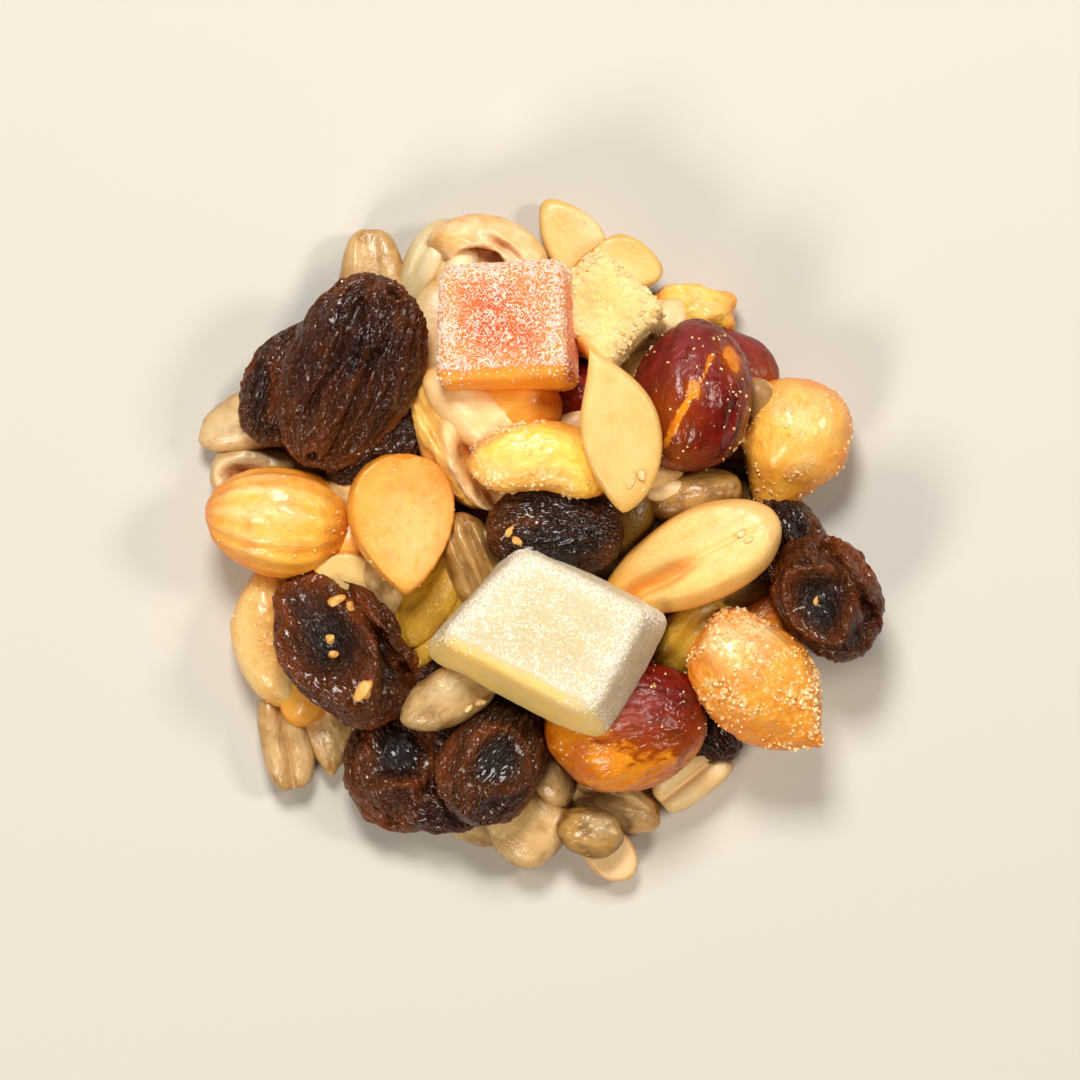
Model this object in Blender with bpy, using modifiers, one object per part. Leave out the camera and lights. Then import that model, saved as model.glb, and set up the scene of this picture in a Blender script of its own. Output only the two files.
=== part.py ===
"""A heap of trail mix as it lies on a table: nuts, seeds, raisins and two candied fruit blocks.

Every piece is a primitive whose points are moved by a form function, laid down one after the other
on what already lies there, and joined with a low core into one solid. Lengths are in millimetres in
the list of pieces and in metres in the scene. +Z is up and the heap rests on z = 0.
"""

import math
from dataclasses import dataclass

import bmesh
import bpy
import numpy as np
from mathutils import Matrix

MM = 0.001

# The pieces lie on a bed, and the core fills the hidden middle of the heap up to it, drawn in a
# little so that no side of it shows.
BED_RADIUS = 25.0
BED_HEIGHT = 9.0
BED_EVENNESS = 0.75
CORE_SHARE = 0.86
CORE_STEPS = 20
CORE_RINGS = 4

# Laying the pieces down: the height map's cell, the share of a piece's footprint that clears what
# is under it, how far the piece then sinks in, and its probe points.
MAP_HALF_WIDTH = 42.0
MAP_CELL = 0.5
CLEAR_SHARE = 0.72
SINK = 0.4
FLOOR_CLEARANCE = 0.02
PROBE_POINTS = 3600

# The point of the list's frame that the middle of the heap's bounding box has.
HEAP_MIDDLE = (0.1245, -0.0545)

WAVES = 7
WAVE_PITCH = 2.6


@dataclass(frozen=True)
class Piece:
    """One piece of the mix, before it is laid down; millimetres and degrees."""

    name: str
    kind: str
    at: tuple
    yaw: float
    size: tuple
    pitch: float = 0.0
    roll: float = 0.0
    taper: float = 0.0
    tip: float = 0.0
    cut: float = 1.0
    bend: float = 0.0
    groove: float = 0.0
    lumps: float = 0.03
    square: float = 0.0
    flare: float = 0.0
    keystone: float = 0.0
    ceiling: float = 99.0
    clear: float = CLEAR_SHARE
    dents: tuple = ()


# Colour (sRGB hex) and roughness of each kind.
KINDS = {
    "raisin": ("4A1E0C", 0.35),
    "candied_orange": ("F4773A", 0.6),
    "candied_pale": ("EFE6C4", 0.65),
    "roasted_nut": ("EDB04C", 0.5),
    "red_skin_nut": ("7E1B12", 0.35),
    "pale_nut": ("F0D49A", 0.45),
    "kernel": ("CFA669", 0.45),
    "green_seed": ("A58A2C", 0.45),
}

# Circle and ring counts of each kind's primitive.
FACETS = {
    "raisin": (10, 7),
    "red_skin_nut": (10, 6),
    "roasted_nut": (9, 6),
    "pale_nut": (8, 6),
    "kernel": (7, 5),
    "green_seed": (7, 5),
}
BLOCK_CUTS = 3

# Laid down in this order, from the floor up.
PIECES = [
    Piece("kernel_north_west", "kernel", (-16.9, 26.3), 92, (10.5, 6.8, 5), taper=0.22, groove=0.7),
    Piece("kernel_west_high", "kernel", (-29.6, 12.0), 196, (10.5, 6.0, 5), taper=0.1),
    Piece("kernel_west_low", "kernel", (-28.6, 6.6), 178, (9.8, 5.4, 4.5), groove=1.2),
    Piece("cashew_west", "pale_nut", (-27.6, -10.6), 97, (14.5, 5.8, 7), bend=75, lumps=0.05),
    Piece("kernel_south_west", "kernel", (-25.8, -20.0), 100, (10.6, 5.2, 4.5), groove=1.0),
    Piece("kernel_tipped", "kernel", (-21.6, -19.2), -86, (9.6, 5.2, 4.5), tip=0.25, taper=0.2),
    Piece("nut_under_fold", "roasted_nut", (-23.2, -14.6), 70, (9, 6, 5), ceiling=6.5),
    Piece("raisin_south_west", "raisin", (-14.3, -23.6), -60, (12.6, 10.8, 8),
          dents=((60, 55, 28, 1.6), (-40, 30, 22, 1.2))),
    Piece("raisin_south_low", "raisin", (-10.4, -26.6), -12, (9.5, 6, 5), ceiling=7,
          dents=((30, 40, 25, 0.8),)),
    Piece("kernel_south_edge", "kernel", (-7.2, -28.6), -25, (8, 4, 3.5), ceiling=4.5),
    Piece("kernel_south_broad", "kernel", (-2.3, -28.0), -42, (10.5, 7.6, 5), taper=-0.25, square=0.3),
    Piece("seed_south_lumpy", "kernel", (7.3, -26.8), -20, (10, 5.4, 4.5), lumps=0.08),
    Piece("seed_south_flat", "pale_nut", (7.0, -31.6), -52, (6.8, 4.8, 3), cut=0.4),
    Piece("kernel_south_top", "kernel", (5.0, -29.5), -12, (7.0, 4.8, 4), lumps=0.05),
    Piece("half_south_east", "pale_nut", (15.5, -23.8), 38, (8.8, 4.8, 5), groove=1.1, square=0.3),
    Piece("raisin_south_east", "raisin", (17.0, -18.4), -60, (9, 6.5, 5)),
    Piece("kernel_south_gap", "kernel", (1.2, -24.0), -70, (6.5, 4.2, 4), ceiling=5.5),
    Piece("nut_north_east", "roasted_nut", (15.6, 23.6), -6, (8.6, 5.2, 6), lumps=0.13),
    Piece("seed_north_east", "pale_nut", (12.6, 21.4), 60, (6.5, 4.4, 4), ceiling=7),
    Piece("nut_under_dice", "roasted_nut", (5.6, 25.6), 60, (10, 6.5, 5)),
    Piece("slice_north", "pale_nut", (2.9, 30.9), 126, (8.4, 5.8, 3.2), taper=0.3, cut=0.4),
    Piece("slice_north_east", "pale_nut", (9.0, 28.0), -24, (7.2, 4.8, 3), taper=0.12, cut=0.4),
    Piece("lobe_north_outer", "pale_nut", (-10.8, 27.6), 63, (10.4, 6.2, 7)),
    Piece("lobe_north_inner", "pale_nut", (-8.3, 26.9), 60, (8.8, 3.8, 7), ceiling=8),
    Piece("lobe_north_floor", "roasted_nut", (-4.0, 27.2), -10, (9.5, 5.5, 4.5)),
    Piece("crest_north", "kernel", (-5.0, 29.9), -12, (12.8, 5.6, 6.5), bend=75, lumps=0.04, ceiling=9),
    Piece("nut_between_north", "pale_nut", (-10.4, 20.6), 85, (11.5, 6.5, 5), ceiling=8.5),
    Piece("nut_between_west", "pale_nut", (-12.8, 13.6), 40, (8.5, 6, 5), ceiling=9),
    Piece("nut_shell_half", "kernel", (-8.2, 10.2), -62, (15.5, 8, 7), taper=-0.1, lumps=0.05, ceiling=12.5),
    Piece("half_cream", "pale_nut", (-6.7, 13.0), -40, (12, 6.2, 5.5), taper=-0.12, groove=0.5, ceiling=13.5),
    Piece("half_orange", "roasted_nut", (-2.4, 13.8), -15, (9.5, 7, 6), ceiling=13.5),
    Piece("nut_dark_gap", "red_skin_nut", (3.0, 14.6), 0, (8.5, 7.5, 7), ceiling=10.5),
    Piece("seed_middle_gap", "pale_nut", (3.2, 11.4), 20, (5.5, 3.8, 3.5), ceiling=10.5),
    Piece("nut_brown_gap", "kernel", (8.6, 16.6), 30, (10.5, 7.5, 6), ceiling=9),
    Piece("raisin_west_back", "raisin", (-25.6, 15.3), 64, (13.4, 9.2, 7.5), roll=18,
          dents=((60, 50, 26, 1.8),)),
    Piece("raisin_west_under", "raisin", (-16.4, 9.4), 35, (11.5, 6.8, 6), ceiling=11),
    Piece("kernel_west_gap", "kernel", (-18.8, 5.2), 30, (8.5, 5.2, 4.5), ceiling=9),
    Piece("nut_west_gap", "roasted_nut", (-18.8, -1.0), -70, (9.5, 6.2, 5), ceiling=8.5),
    Piece("half_west_gap", "pale_nut", (-19.3, -3.4), -5, (6.8, 4.2, 3.5), cut=0.4, ceiling=9),
    Piece("kernel_grey_gap", "kernel", (-16.0, -4.4), -60, (8.5, 4.6, 4), ceiling=9.5),
    Piece("pepita_upper", "green_seed", (-11.4, -5.8), 55, (12.5, 6.4, 3), roll=-28, cut=0.8, ceiling=10.5),
    Piece("pepita_lower", "green_seed", (-11.4, -9.6), 50, (8.5, 4.6, 2.8), roll=-20, cut=0.8, ceiling=9.5),
    Piece("kernel_olive_gap", "green_seed", (-8.3, -6.6), -70, (8.5, 5, 4), groove=0.6, ceiling=10),
    Piece("kernel_olive_ridged", "kernel", (-6.4, -2.6), -70, (11.4, 5.8, 5), groove=0.9, ceiling=12.5),
    Piece("raisin_middle_gap", "raisin", (-10.8, -12.4), 30, (9.5, 6.2, 5), ceiling=9),
    Piece("raisin_south_gap", "raisin", (-8.8, -19.4), -40, (9.5, 6.5, 5.5), ceiling=8),
    Piece("kernel_olive_east", "green_seed", (8.7, 2.0), 60, (8.5, 5.4, 5), ceiling=10.5),
    Piece("kernel_east_tan", "kernel", (15.6, 4.4), 14, (9.8, 5.2, 5)),
    Piece("sliver_east_one", "kernel", (12.2, 6.4), 25, (5, 2.4, 2.2), ceiling=10.5),
    Piece("sliver_east_two", "pale_nut", (12.8, 4.9), 12, (4.6, 2.2, 2.2), ceiling=10.5),
    Piece("pepita_east", "green_seed", (15.1, -9.6), 50, (9.5, 6.6, 5), groove=0.8),
    Piece("kernel_olive_low", "green_seed", (19.6, -5.2), 15, (8, 4.6, 4.5), ceiling=8),
    Piece("nut_amber_gap", "red_skin_nut", (22.6, -8.4), 20, (9.5, 7, 5.5)),
    Piece("raisin_east_dark", "raisin", (24.8, -0.7), -64, (12.2, 8.6, 7.5), dents=((80, 50, 24, 1.4),)),
    Piece("raisin_east_open", "raisin", (29.0, -5.8), -52, (13.4, 10.6, 8.5),
          dents=((-50, 72, 20, 3.0), (70, 40, 18, 1.3), (150, 30, 20, 1.2))),
    Piece("red_nut_south", "red_skin_nut", (8.7, -18.6), 8, (16.5, 13.4, 11.5), dents=((60, 62, 34, 1.2),)),
    Piece("raisin_middle", "raisin", (1.5, 0.9), -3, (14.2, 9.4, 7), dents=((0, 90, 30, 0.9),)),
    Piece("skin_flap_east", "red_skin_nut", (20.2, 17.6), -50, (9.5, 6.2, 6), lumps=0.07),
    Piece("seed_east_gap", "pale_nut", (21.4, 14.6), 0, (4.6, 3.4, 3.4)),
    Piece("candied_dice", "candied_pale", (6.9, 23.4), -43, (9.8, 8.8, 8), pitch=-4, roll=6, square=0.75,
          lumps=0.035),
    Piece("red_nut_east", "red_skin_nut", (15.3, 14.2), 82, (15.2, 12.2, 12), taper=0.08, tip=0.04),
    Piece("coated_nut_east", "roasted_nut", (25.6, 9.6), -122, (13.6, 10.9, 10), taper=0.2, tip=0.1,
          lumps=0.04),
    Piece("coated_nut_south_east", "roasted_nut", (22.0, -14.4), -50, (15.4, 11, 10), taper=0.12,
          tip=0.12, lumps=0.09),
    Piece("ridged_nut_west", "roasted_nut", (-26.4, 1.9), 173, (14.8, 10.7, 10), taper=0.08, tip=0.08),
    Piece("half_nut_west", "roasted_nut", (-13.7, 1.6), -88, (14.2, 10.6, 6.5), pitch=4, roll=-12,
          taper=0.16, tip=0.1, cut=0.25, ceiling=15),
    Piece("yellow_arch", "roasted_nut", (-0.1, 8.6), -3, (14.6, 6.8, 7), bend=75, lumps=0.05, ceiling=17.5),
    Piece("kernel_front", "kernel", (-8.9, -15.6), 28, (11.2, 5.8, 5), groove=0.25, clear=0.85),
    Piece("raisin_folded", "raisin", (-19.9, -10.9), -50, (17.2, 12.4, 8), roll=-10,
          dents=((-60, 55, 30, 2.6), (-150, 45, 24, 1.2))),
    Piece("raisin_south", "raisin", (-4.6, -22.0), 62, (13.4, 10.4, 8), taper=0.1,
          dents=((0, 90, 32, 1.2),)),
    Piece("split_peanut", "pale_nut", (15.2, -1.4), 27, (19.4, 8.8, 7), pitch=8, roll=-14, taper=-0.18,
          groove=1.3, cut=0.55, clear=0.8),
    Piece("leaf_half", "pale_nut", (8.1, 11.0), -78, (16.4, 8.2, 3.2), pitch=-6, roll=-10, taper=-0.1,
          tip=0.16, cut=0.4, clear=0.93),
    Piece("raisin_large", "raisin", (-18.9, 16.6), 64, (21, 13.4, 8.5), pitch=6, taper=-0.06,
          dents=((100, 60, 20, 0.7), (-60, 40, 24, 0.9))),
    Piece("candied_block_orange", "candied_orange", (-3.0, 21.3), 3, (13.4, 12.4, 9), pitch=-4, roll=7,
          square=0.9, lumps=0.01, flare=0.03),
    Piece("candied_block_pale", "candied_pale", (1.2, -9.6), -27, (18.4, 14.4, 9.5), pitch=5, roll=9,
          square=0.85, lumps=0.02, flare=0.12, keystone=0.09),
]


def bed_height(radius):
    """Height of the bed under the pieces at a distance from the middle."""
    inside = np.clip(1.0 - (radius / BED_RADIUS) ** 2, 0.0, 1.0)
    return BED_HEIGHT * inside**BED_EVENNESS


def even_directions(count):
    """Unit vectors spread evenly over the sphere along a golden spiral."""
    step = np.arange(count) + 0.5
    height = 1.0 - 2.0 * step / count
    angle = step * math.pi * (3.0 - math.sqrt(5.0))
    ring = np.sqrt(1.0 - height**2)
    return np.stack([height, ring * np.cos(angle), ring * np.sin(angle)], axis=1)


def ripple(directions, seed):
    """A smooth uneven value near -1 to 1 for each direction."""
    draw = np.random.default_rng(seed)
    axes = draw.normal(size=(WAVES, 3)) * WAVE_PITCH
    phases = draw.uniform(0.0, 2.0 * math.pi, WAVES)
    return np.sin(directions @ axes.T + phases).mean(axis=1) * 2.2


def squared(directions, share):
    """The sphere's points pushed out towards a rounded box."""
    power = 2.0 + 8.0 * share**2
    reach = (np.abs(directions) ** power).sum(axis=1) ** (1.0 / power)
    return directions / reach[:, None]


def soft_ceiling(height, level, softness=0.25):
    """The lower of height and level, with a small round where they meet."""
    gap = (height - level) / softness
    return level - softness * np.logaddexp(0.0, -gap)


def dent_direction(azimuth, elevation):
    """The unit vector that a dent is centred on."""
    across, up = math.radians(azimuth), math.radians(elevation)
    return np.array([math.cos(up) * math.cos(across), math.cos(up) * math.sin(across), math.sin(up)])


def form(piece, directions, seed):
    """The piece's surface in its own frame, in mm: its long axis and tip on +X, its face on +Z."""
    length, width, height = piece.size
    unit = squared(directions, piece.square)
    unit = unit * (1.0 + piece.lumps * ripple(directions, seed))[:, None]
    along = unit[:, 0]
    girth = 1.0 - piece.taper * along
    pull = piece.tip * np.clip(along, 0.0, 1.0) ** 4
    rise = height / (1.0 + piece.cut)
    spread = 1.0 - piece.flare * unit[:, 2]
    x = (along + pull - piece.tip / 2.0) / (1.0 + piece.tip / 2.0) * length / 2.0 * spread
    y = unit[:, 1] * girth * width / 2.0 * spread
    z = unit[:, 2] * girth * rise
    x = x * (1.0 - piece.keystone * unit[:, 1]) + piece.keystone * unit[:, 1] * length / 2.0
    if piece.cut < 1.0:
        z = soft_ceiling(z, piece.cut * rise)
    if piece.groove:
        upper = np.clip(unit[:, 2] * 2.0, 0.0, 1.0)
        valley = np.exp(-((y / (0.16 * width)) ** 2))
        z = z - piece.groove * valley * upper * np.sqrt(np.clip(1.0 - along**2, 0.0, 1.0))
    points = np.stack([x, y, z], axis=1)
    for azimuth, elevation, spread_angle, depth in piece.dents:
        turn = np.degrees(np.arccos(np.clip(directions @ dent_direction(azimuth, elevation), -1, 1)))
        points -= directions * (depth * np.exp(-((turn / spread_angle) ** 2)))[:, None]
    if piece.bend:
        radius = length / math.radians(piece.bend)
        turn = points[:, 0] / radius
        reach = radius + points[:, 1]
        points[:, 0] = reach * np.sin(turn)
        points[:, 1] = reach * np.cos(turn) - radius
    return points


def tilt_matrix(piece):
    """Rotation of a laid piece: roll about its length, tip end up by pitch, then yaw."""
    turn = Matrix.Rotation(math.radians(piece.yaw), 3, "Z")
    lift = Matrix.Rotation(math.radians(-piece.pitch), 3, "Y")
    lean = Matrix.Rotation(math.radians(piece.roll), 3, "X")
    return np.array(turn @ lift @ lean)


class HeightMap:
    """The heap's top so far, on a square grid, used to lay each piece on what is under it."""

    def __init__(self):
        count = int(2 * MAP_HALF_WIDTH / MAP_CELL)
        middles = (np.arange(count) + 0.5) * MAP_CELL - MAP_HALF_WIDTH
        self.top = bed_height(np.hypot(middles[:, None], middles[None, :]))

    def cells(self, points):
        """Row and column of each point's cell."""
        places = np.floor((points[:, :2] + MAP_HALF_WIDTH) / MAP_CELL).astype(int)
        return places[:, 0], places[:, 1]

    def rest_height(self, points, share):
        """How far up the points move so that this share of their footprint clears the heap."""
        underside = np.full(self.top.shape, np.inf)
        np.minimum.at(underside, self.cells(points), points[:, 2])
        covered = np.isfinite(underside)
        need = np.quantile(self.top[covered] - underside[covered], share)
        return max(float(need) - SINK, FLOOR_CLEARANCE - float(points[:, 2].min()))

    def add(self, points):
        """Raises the map to the laid piece's top."""
        np.maximum.at(self.top, self.cells(points), points[:, 2])


def settle(pieces):
    """Rotation and place, in mm, of every piece, laid down in order."""
    heap = HeightMap()
    probe = even_directions(PROBE_POINTS)
    settled = []
    for seed, piece in enumerate(pieces):
        rotation = tilt_matrix(piece)
        surface = form(piece, probe, seed) @ rotation.T
        surface[:, :2] += piece.at
        rise = min(heap.rest_height(surface, piece.clear), piece.ceiling - surface[:, 2].max())
        surface[:, 2] += rise
        heap.add(surface)
        settled.append((rotation, np.array([*piece.at, rise])))
    return settled


def linear(channel):
    """One sRGB channel, 0 to 1, as linear light."""
    if channel <= 0.04045:
        return channel / 12.92
    return ((channel + 0.055) / 1.055) ** 2.4


def kind_material(kind):
    """A Principled material in the kind's colour."""
    hex_colour, roughness = KINDS[kind]
    material = bpy.data.materials.new(kind)
    material.use_nodes = True
    shader = material.node_tree.nodes["Principled BSDF"]
    channels = [linear(int(hex_colour[i : i + 2], 16) / 255) for i in (0, 2, 4)]
    shader.inputs["Base Color"].default_value = (*channels, 1.0)
    shader.inputs["Roughness"].default_value = roughness
    shader.inputs["Metallic"].default_value = 0.0
    material.diffuse_color = (*channels, 1.0)
    return material


def piece_mesh(piece, seed, rotation, place):
    """The piece's faceted mesh: a sphere or cube primitive moved onto its form and laid down."""
    shape = bmesh.new()
    if piece.square > 0.5:
        bmesh.ops.create_cube(shape, size=2.0)
        bmesh.ops.subdivide_edges(shape, edges=shape.edges[:], cuts=BLOCK_CUTS, use_grid_fill=True)
    else:
        circle, rings = FACETS[piece.kind]
        on_x = Matrix.Rotation(math.radians(90), 4, "Y")
        bmesh.ops.create_uvsphere(
            shape, u_segments=circle, v_segments=rings, radius=1.0, matrix=on_x
        )
    corners = np.array([vertex.co for vertex in shape.verts])
    directions = corners / np.linalg.norm(corners, axis=1)[:, None]
    points = (form(piece, directions, seed) @ rotation.T + place) * MM
    for vertex, point in zip(shape.verts, points):
        vertex.co = point
    bmesh.ops.triangulate(shape, faces=shape.faces[:])
    mesh = bpy.data.meshes.new(piece.name)
    shape.to_mesh(mesh)
    shape.free()
    return mesh


def make_core(material):
    """The low mound under the pieces, turned from its profile, with a flat foot on the floor."""
    radii = [BED_RADIUS * math.sin(math.pi / 2 * i / CORE_RINGS) for i in range(CORE_RINGS + 1)]
    profile = [(radius, float(bed_height(radius))) for radius in radii]
    profile = [point for point in profile if point[1] > 0.6]
    profile.append((profile[-1][0], 0.0))
    profile.append((0.0, 0.0))
    mesh = bpy.data.meshes.new("core_profile")
    points = [(radius * CORE_SHARE * MM, 0.0, height * MM) for radius, height in profile]
    edges = [(i, i + 1) for i in range(len(points) - 1)]
    mesh.from_pydata(points, edges, [])
    core = bpy.data.objects.new("core", mesh)
    core.data.materials.append(material)
    turned = core.modifiers.new("turned", "SCREW")
    turned.steps = CORE_STEPS
    turned.render_steps = CORE_STEPS
    turned.use_merge_vertices = True
    turned.merge_threshold = 0.00001
    return core


def baked_mesh(item):
    """A plain mesh of the object as its modifiers leave it."""
    bpy.context.view_layer.update()
    graph = bpy.context.evaluated_depsgraph_get()
    return bpy.data.meshes.new_from_object(item.evaluated_get(graph))


def shells(shape):
    """The mesh's separate shells, each a list of faces."""
    shape.faces.ensure_lookup_table()
    unseen = set(shape.faces)
    found = []
    while unseen:
        shell, edge_of_search = [], [unseen.pop()]
        while edge_of_search:
            face = edge_of_search.pop()
            shell.append(face)
            near = {other for edge in face.edges for other in edge.link_faces} & unseen
            unseen -= near
            edge_of_search.extend(near)
        found.append(shell)
    return found


def keep_outer_shell(mesh):
    """Drops sealed hollows and loose scraps, which leaves one closed body."""
    shape = bmesh.new()
    shape.from_mesh(mesh)
    bmesh.ops.triangulate(shape, faces=shape.faces[:])
    found = sorted(shells(shape), key=len)
    extra = [face for shell in found[:-1] for face in shell]
    bmesh.ops.delete(shape, geom=extra, context="FACES")
    shape.to_mesh(mesh)
    shape.free()


def join_heap(core, loose_pieces):
    """The core and all the pieces as one mesh, with the pieces' materials on their faces."""
    union = core.modifiers.new("heap", "BOOLEAN")
    union.operation = "UNION"
    union.solver = "EXACT"
    union.operand_type = "COLLECTION"
    union.collection = loose_pieces
    union.material_mode = "TRANSFER"
    return baked_mesh(core)


def lay_pieces(loose_pieces, materials):
    """Every piece as an object of its own in the collection, laid down in order."""
    for seed, (piece, (rotation, place)) in enumerate(zip(PIECES, settle(PIECES))):
        mesh = piece_mesh(piece, seed, rotation, place)
        mesh.materials.append(materials[piece.kind])
        loose_pieces.objects.link(bpy.data.objects.new(piece.name, mesh))


def main():
    """Builds the heap as one object in a collection of its own."""
    for item in list(bpy.data.objects):
        bpy.data.objects.remove(item)
    trail_mix = bpy.data.collections.new("trail_mix")
    loose_pieces = bpy.data.collections.new("loose_pieces")
    bpy.context.scene.collection.children.link(trail_mix)
    bpy.context.scene.collection.children.link(loose_pieces)

    materials = {kind: kind_material(kind) for kind in KINDS}
    lay_pieces(loose_pieces, materials)
    core = make_core(materials["kernel"])
    trail_mix.objects.link(core)
    core.data = baked_mesh(core)
    core.modifiers.clear()

    mesh = join_heap(core, loose_pieces)
    keep_outer_shell(mesh)
    mesh.transform(Matrix.Translation((-HEAP_MIDDLE[0] * MM, -HEAP_MIDDLE[1] * MM, 0.0)))
    trail_mix.objects.link(bpy.data.objects.new("trail_mix_heap", mesh))
    for item in [core, *loose_pieces.objects]:
        bpy.data.objects.remove(item)
    bpy.data.collections.remove(loose_pieces)


main()
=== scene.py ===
"""Looks of a heap of trail mix: nuts, seed kernels, raisins and candied fruit as they fell.

Every piece is a sphere or cube of many points moved by a form function and laid on what already
lies there, by the same rule as the solids. Lengths are in millimetres until a mesh is written, and
the list of pieces is in its own frame, whose origin is HEAP_MIDDLE away from the model's.
"""

import logging
import math
from dataclasses import dataclass, replace
from enum import Enum
from functools import lru_cache
from typing import Any

import bpy
import numpy as np
from bpy.types import Material, Mesh, NodeSocket, NodeTree, Object
from mathutils import Matrix, Vector


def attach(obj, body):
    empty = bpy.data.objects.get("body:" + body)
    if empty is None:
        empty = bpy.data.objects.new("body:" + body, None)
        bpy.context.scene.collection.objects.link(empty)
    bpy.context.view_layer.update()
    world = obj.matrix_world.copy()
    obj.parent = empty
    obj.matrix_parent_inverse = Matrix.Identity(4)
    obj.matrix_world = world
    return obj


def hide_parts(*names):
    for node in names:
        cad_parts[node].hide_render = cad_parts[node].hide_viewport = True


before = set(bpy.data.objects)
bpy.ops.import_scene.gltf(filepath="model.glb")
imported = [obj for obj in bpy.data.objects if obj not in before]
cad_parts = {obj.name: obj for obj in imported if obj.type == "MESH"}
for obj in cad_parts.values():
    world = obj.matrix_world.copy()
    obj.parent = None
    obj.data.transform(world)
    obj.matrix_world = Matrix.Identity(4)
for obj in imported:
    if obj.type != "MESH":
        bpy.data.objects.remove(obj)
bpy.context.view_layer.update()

MM = 0.001
NODE = "trail_mix_heap"

# The bed that the pieces lie on, the height map and the rule that lays the pieces, as in the solids.
BED_RADIUS = 25.0
BED_HEIGHT = 9.0
BED_EVENNESS = 0.75
MAP_HALF_WIDTH = 42.0
MAP_CELL = 0.5
CLEAR_SHARE = 0.72
SINK = 0.4
FLOOR_CLEARANCE = 0.02
PROBE_POINTS = 3600
HEAP_MIDDLE = (0.1245, -0.0545)
WAVES = 7
WAVE_PITCH = 2.6

# How far a piece's colour may stray from its tone in lightness and in hue, and how far apart two
# pieces' patterns start.
TONE_SPREAD = 0.08
HUE_SPREAD = 0.015
PATTERN_STEP = 41.0

log = logging.getLogger("trail_mix")


class Group(Enum):
    """The pieces of one kind that are made as one mesh."""

    RAISINS_LARGE = "raisins_large"
    RAISINS_SMALL = "raisins_small"
    ORANGE_CUBE = "candied_orange_cube"
    PALE_WEDGE = "candied_pale_wedge"
    DICE = "candied_yellow_dice"
    ROASTED = "roasted_nuts"
    RED_SKIN = "red_skin_nuts"
    PALE_NUT = "pale_nuts"
    KERNEL = "seed_kernels"
    GREEN = "green_seeds"
    CRUMB = "nut_crumbs"


class Tone(Enum):
    """Main and second colour of a piece, sRGB."""

    RAISIN = ("341306", "8C420C")
    RAISIN_RED = ("301005", "94460D")
    RAISIN_DARK = ("200D06", "84400E")
    ORANGE = ("FF5A0E", "FF9A38")
    WHITE = ("DCCC9A", "E6D8AE")
    YELLOW = ("FFD27C", "FFDF9C")
    GOLD = ("FFC044", "E88C1C")
    HONEY = ("F9AC38", "DE7E18")
    AMBER = ("FFB848", "F09828")
    BRIGHT = ("FFD03C", "F09818")
    CASHEW = ("FFD67A", "F4B450")
    RED = ("80140A", "C8660F")
    CREAM = ("F8DDA8", "E4AC60")
    IVORY = ("FBEBBE", "ECC886")
    PEANUT = ("F8CB74", "E4A040")
    LEAF = ("F5D68C", "E9B75E")
    TAN = ("E6C084", "B8894A")
    GREY_TAN = ("D9B67C", "9C7440")
    BROWN = ("C29652", "80541F")
    OLIVE = ("966C12", "C89A2C")
    OLIVE_BROWN = ("9A7228", "664414")
    CRUMB = ("E9B968", "C98A3A")


@dataclass(frozen=True)
class Piece:
    """One piece of the mix, before it is laid down; millimetres and degrees."""

    name: str
    group: Group
    tone: Tone
    at: tuple
    yaw: float
    size: tuple
    pitch: float = 0.0
    roll: float = 0.0
    taper: float = 0.0
    tip: float = 0.0
    cut: float = 1.0
    bend: float = 0.0
    point: float = 0.0
    back_point: float = 0.0
    groove: float = 0.0
    cleft: float = 0.0
    lumps: float = 0.03
    square: float = 0.0
    flare: float = 0.0
    keystone: float = 0.0
    ceiling: float = 99.0
    clear: float = CLEAR_SHARE
    dents: tuple = ()
    hollows: tuple = ()
    furrows: tuple = ()
    steps: int = 18
    relief: float = 1.0
    grit: float = 0.0
    ridges: int = 0
    bare: tuple = ()
    pale: tuple = ()
    cracks: tuple = ()


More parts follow.
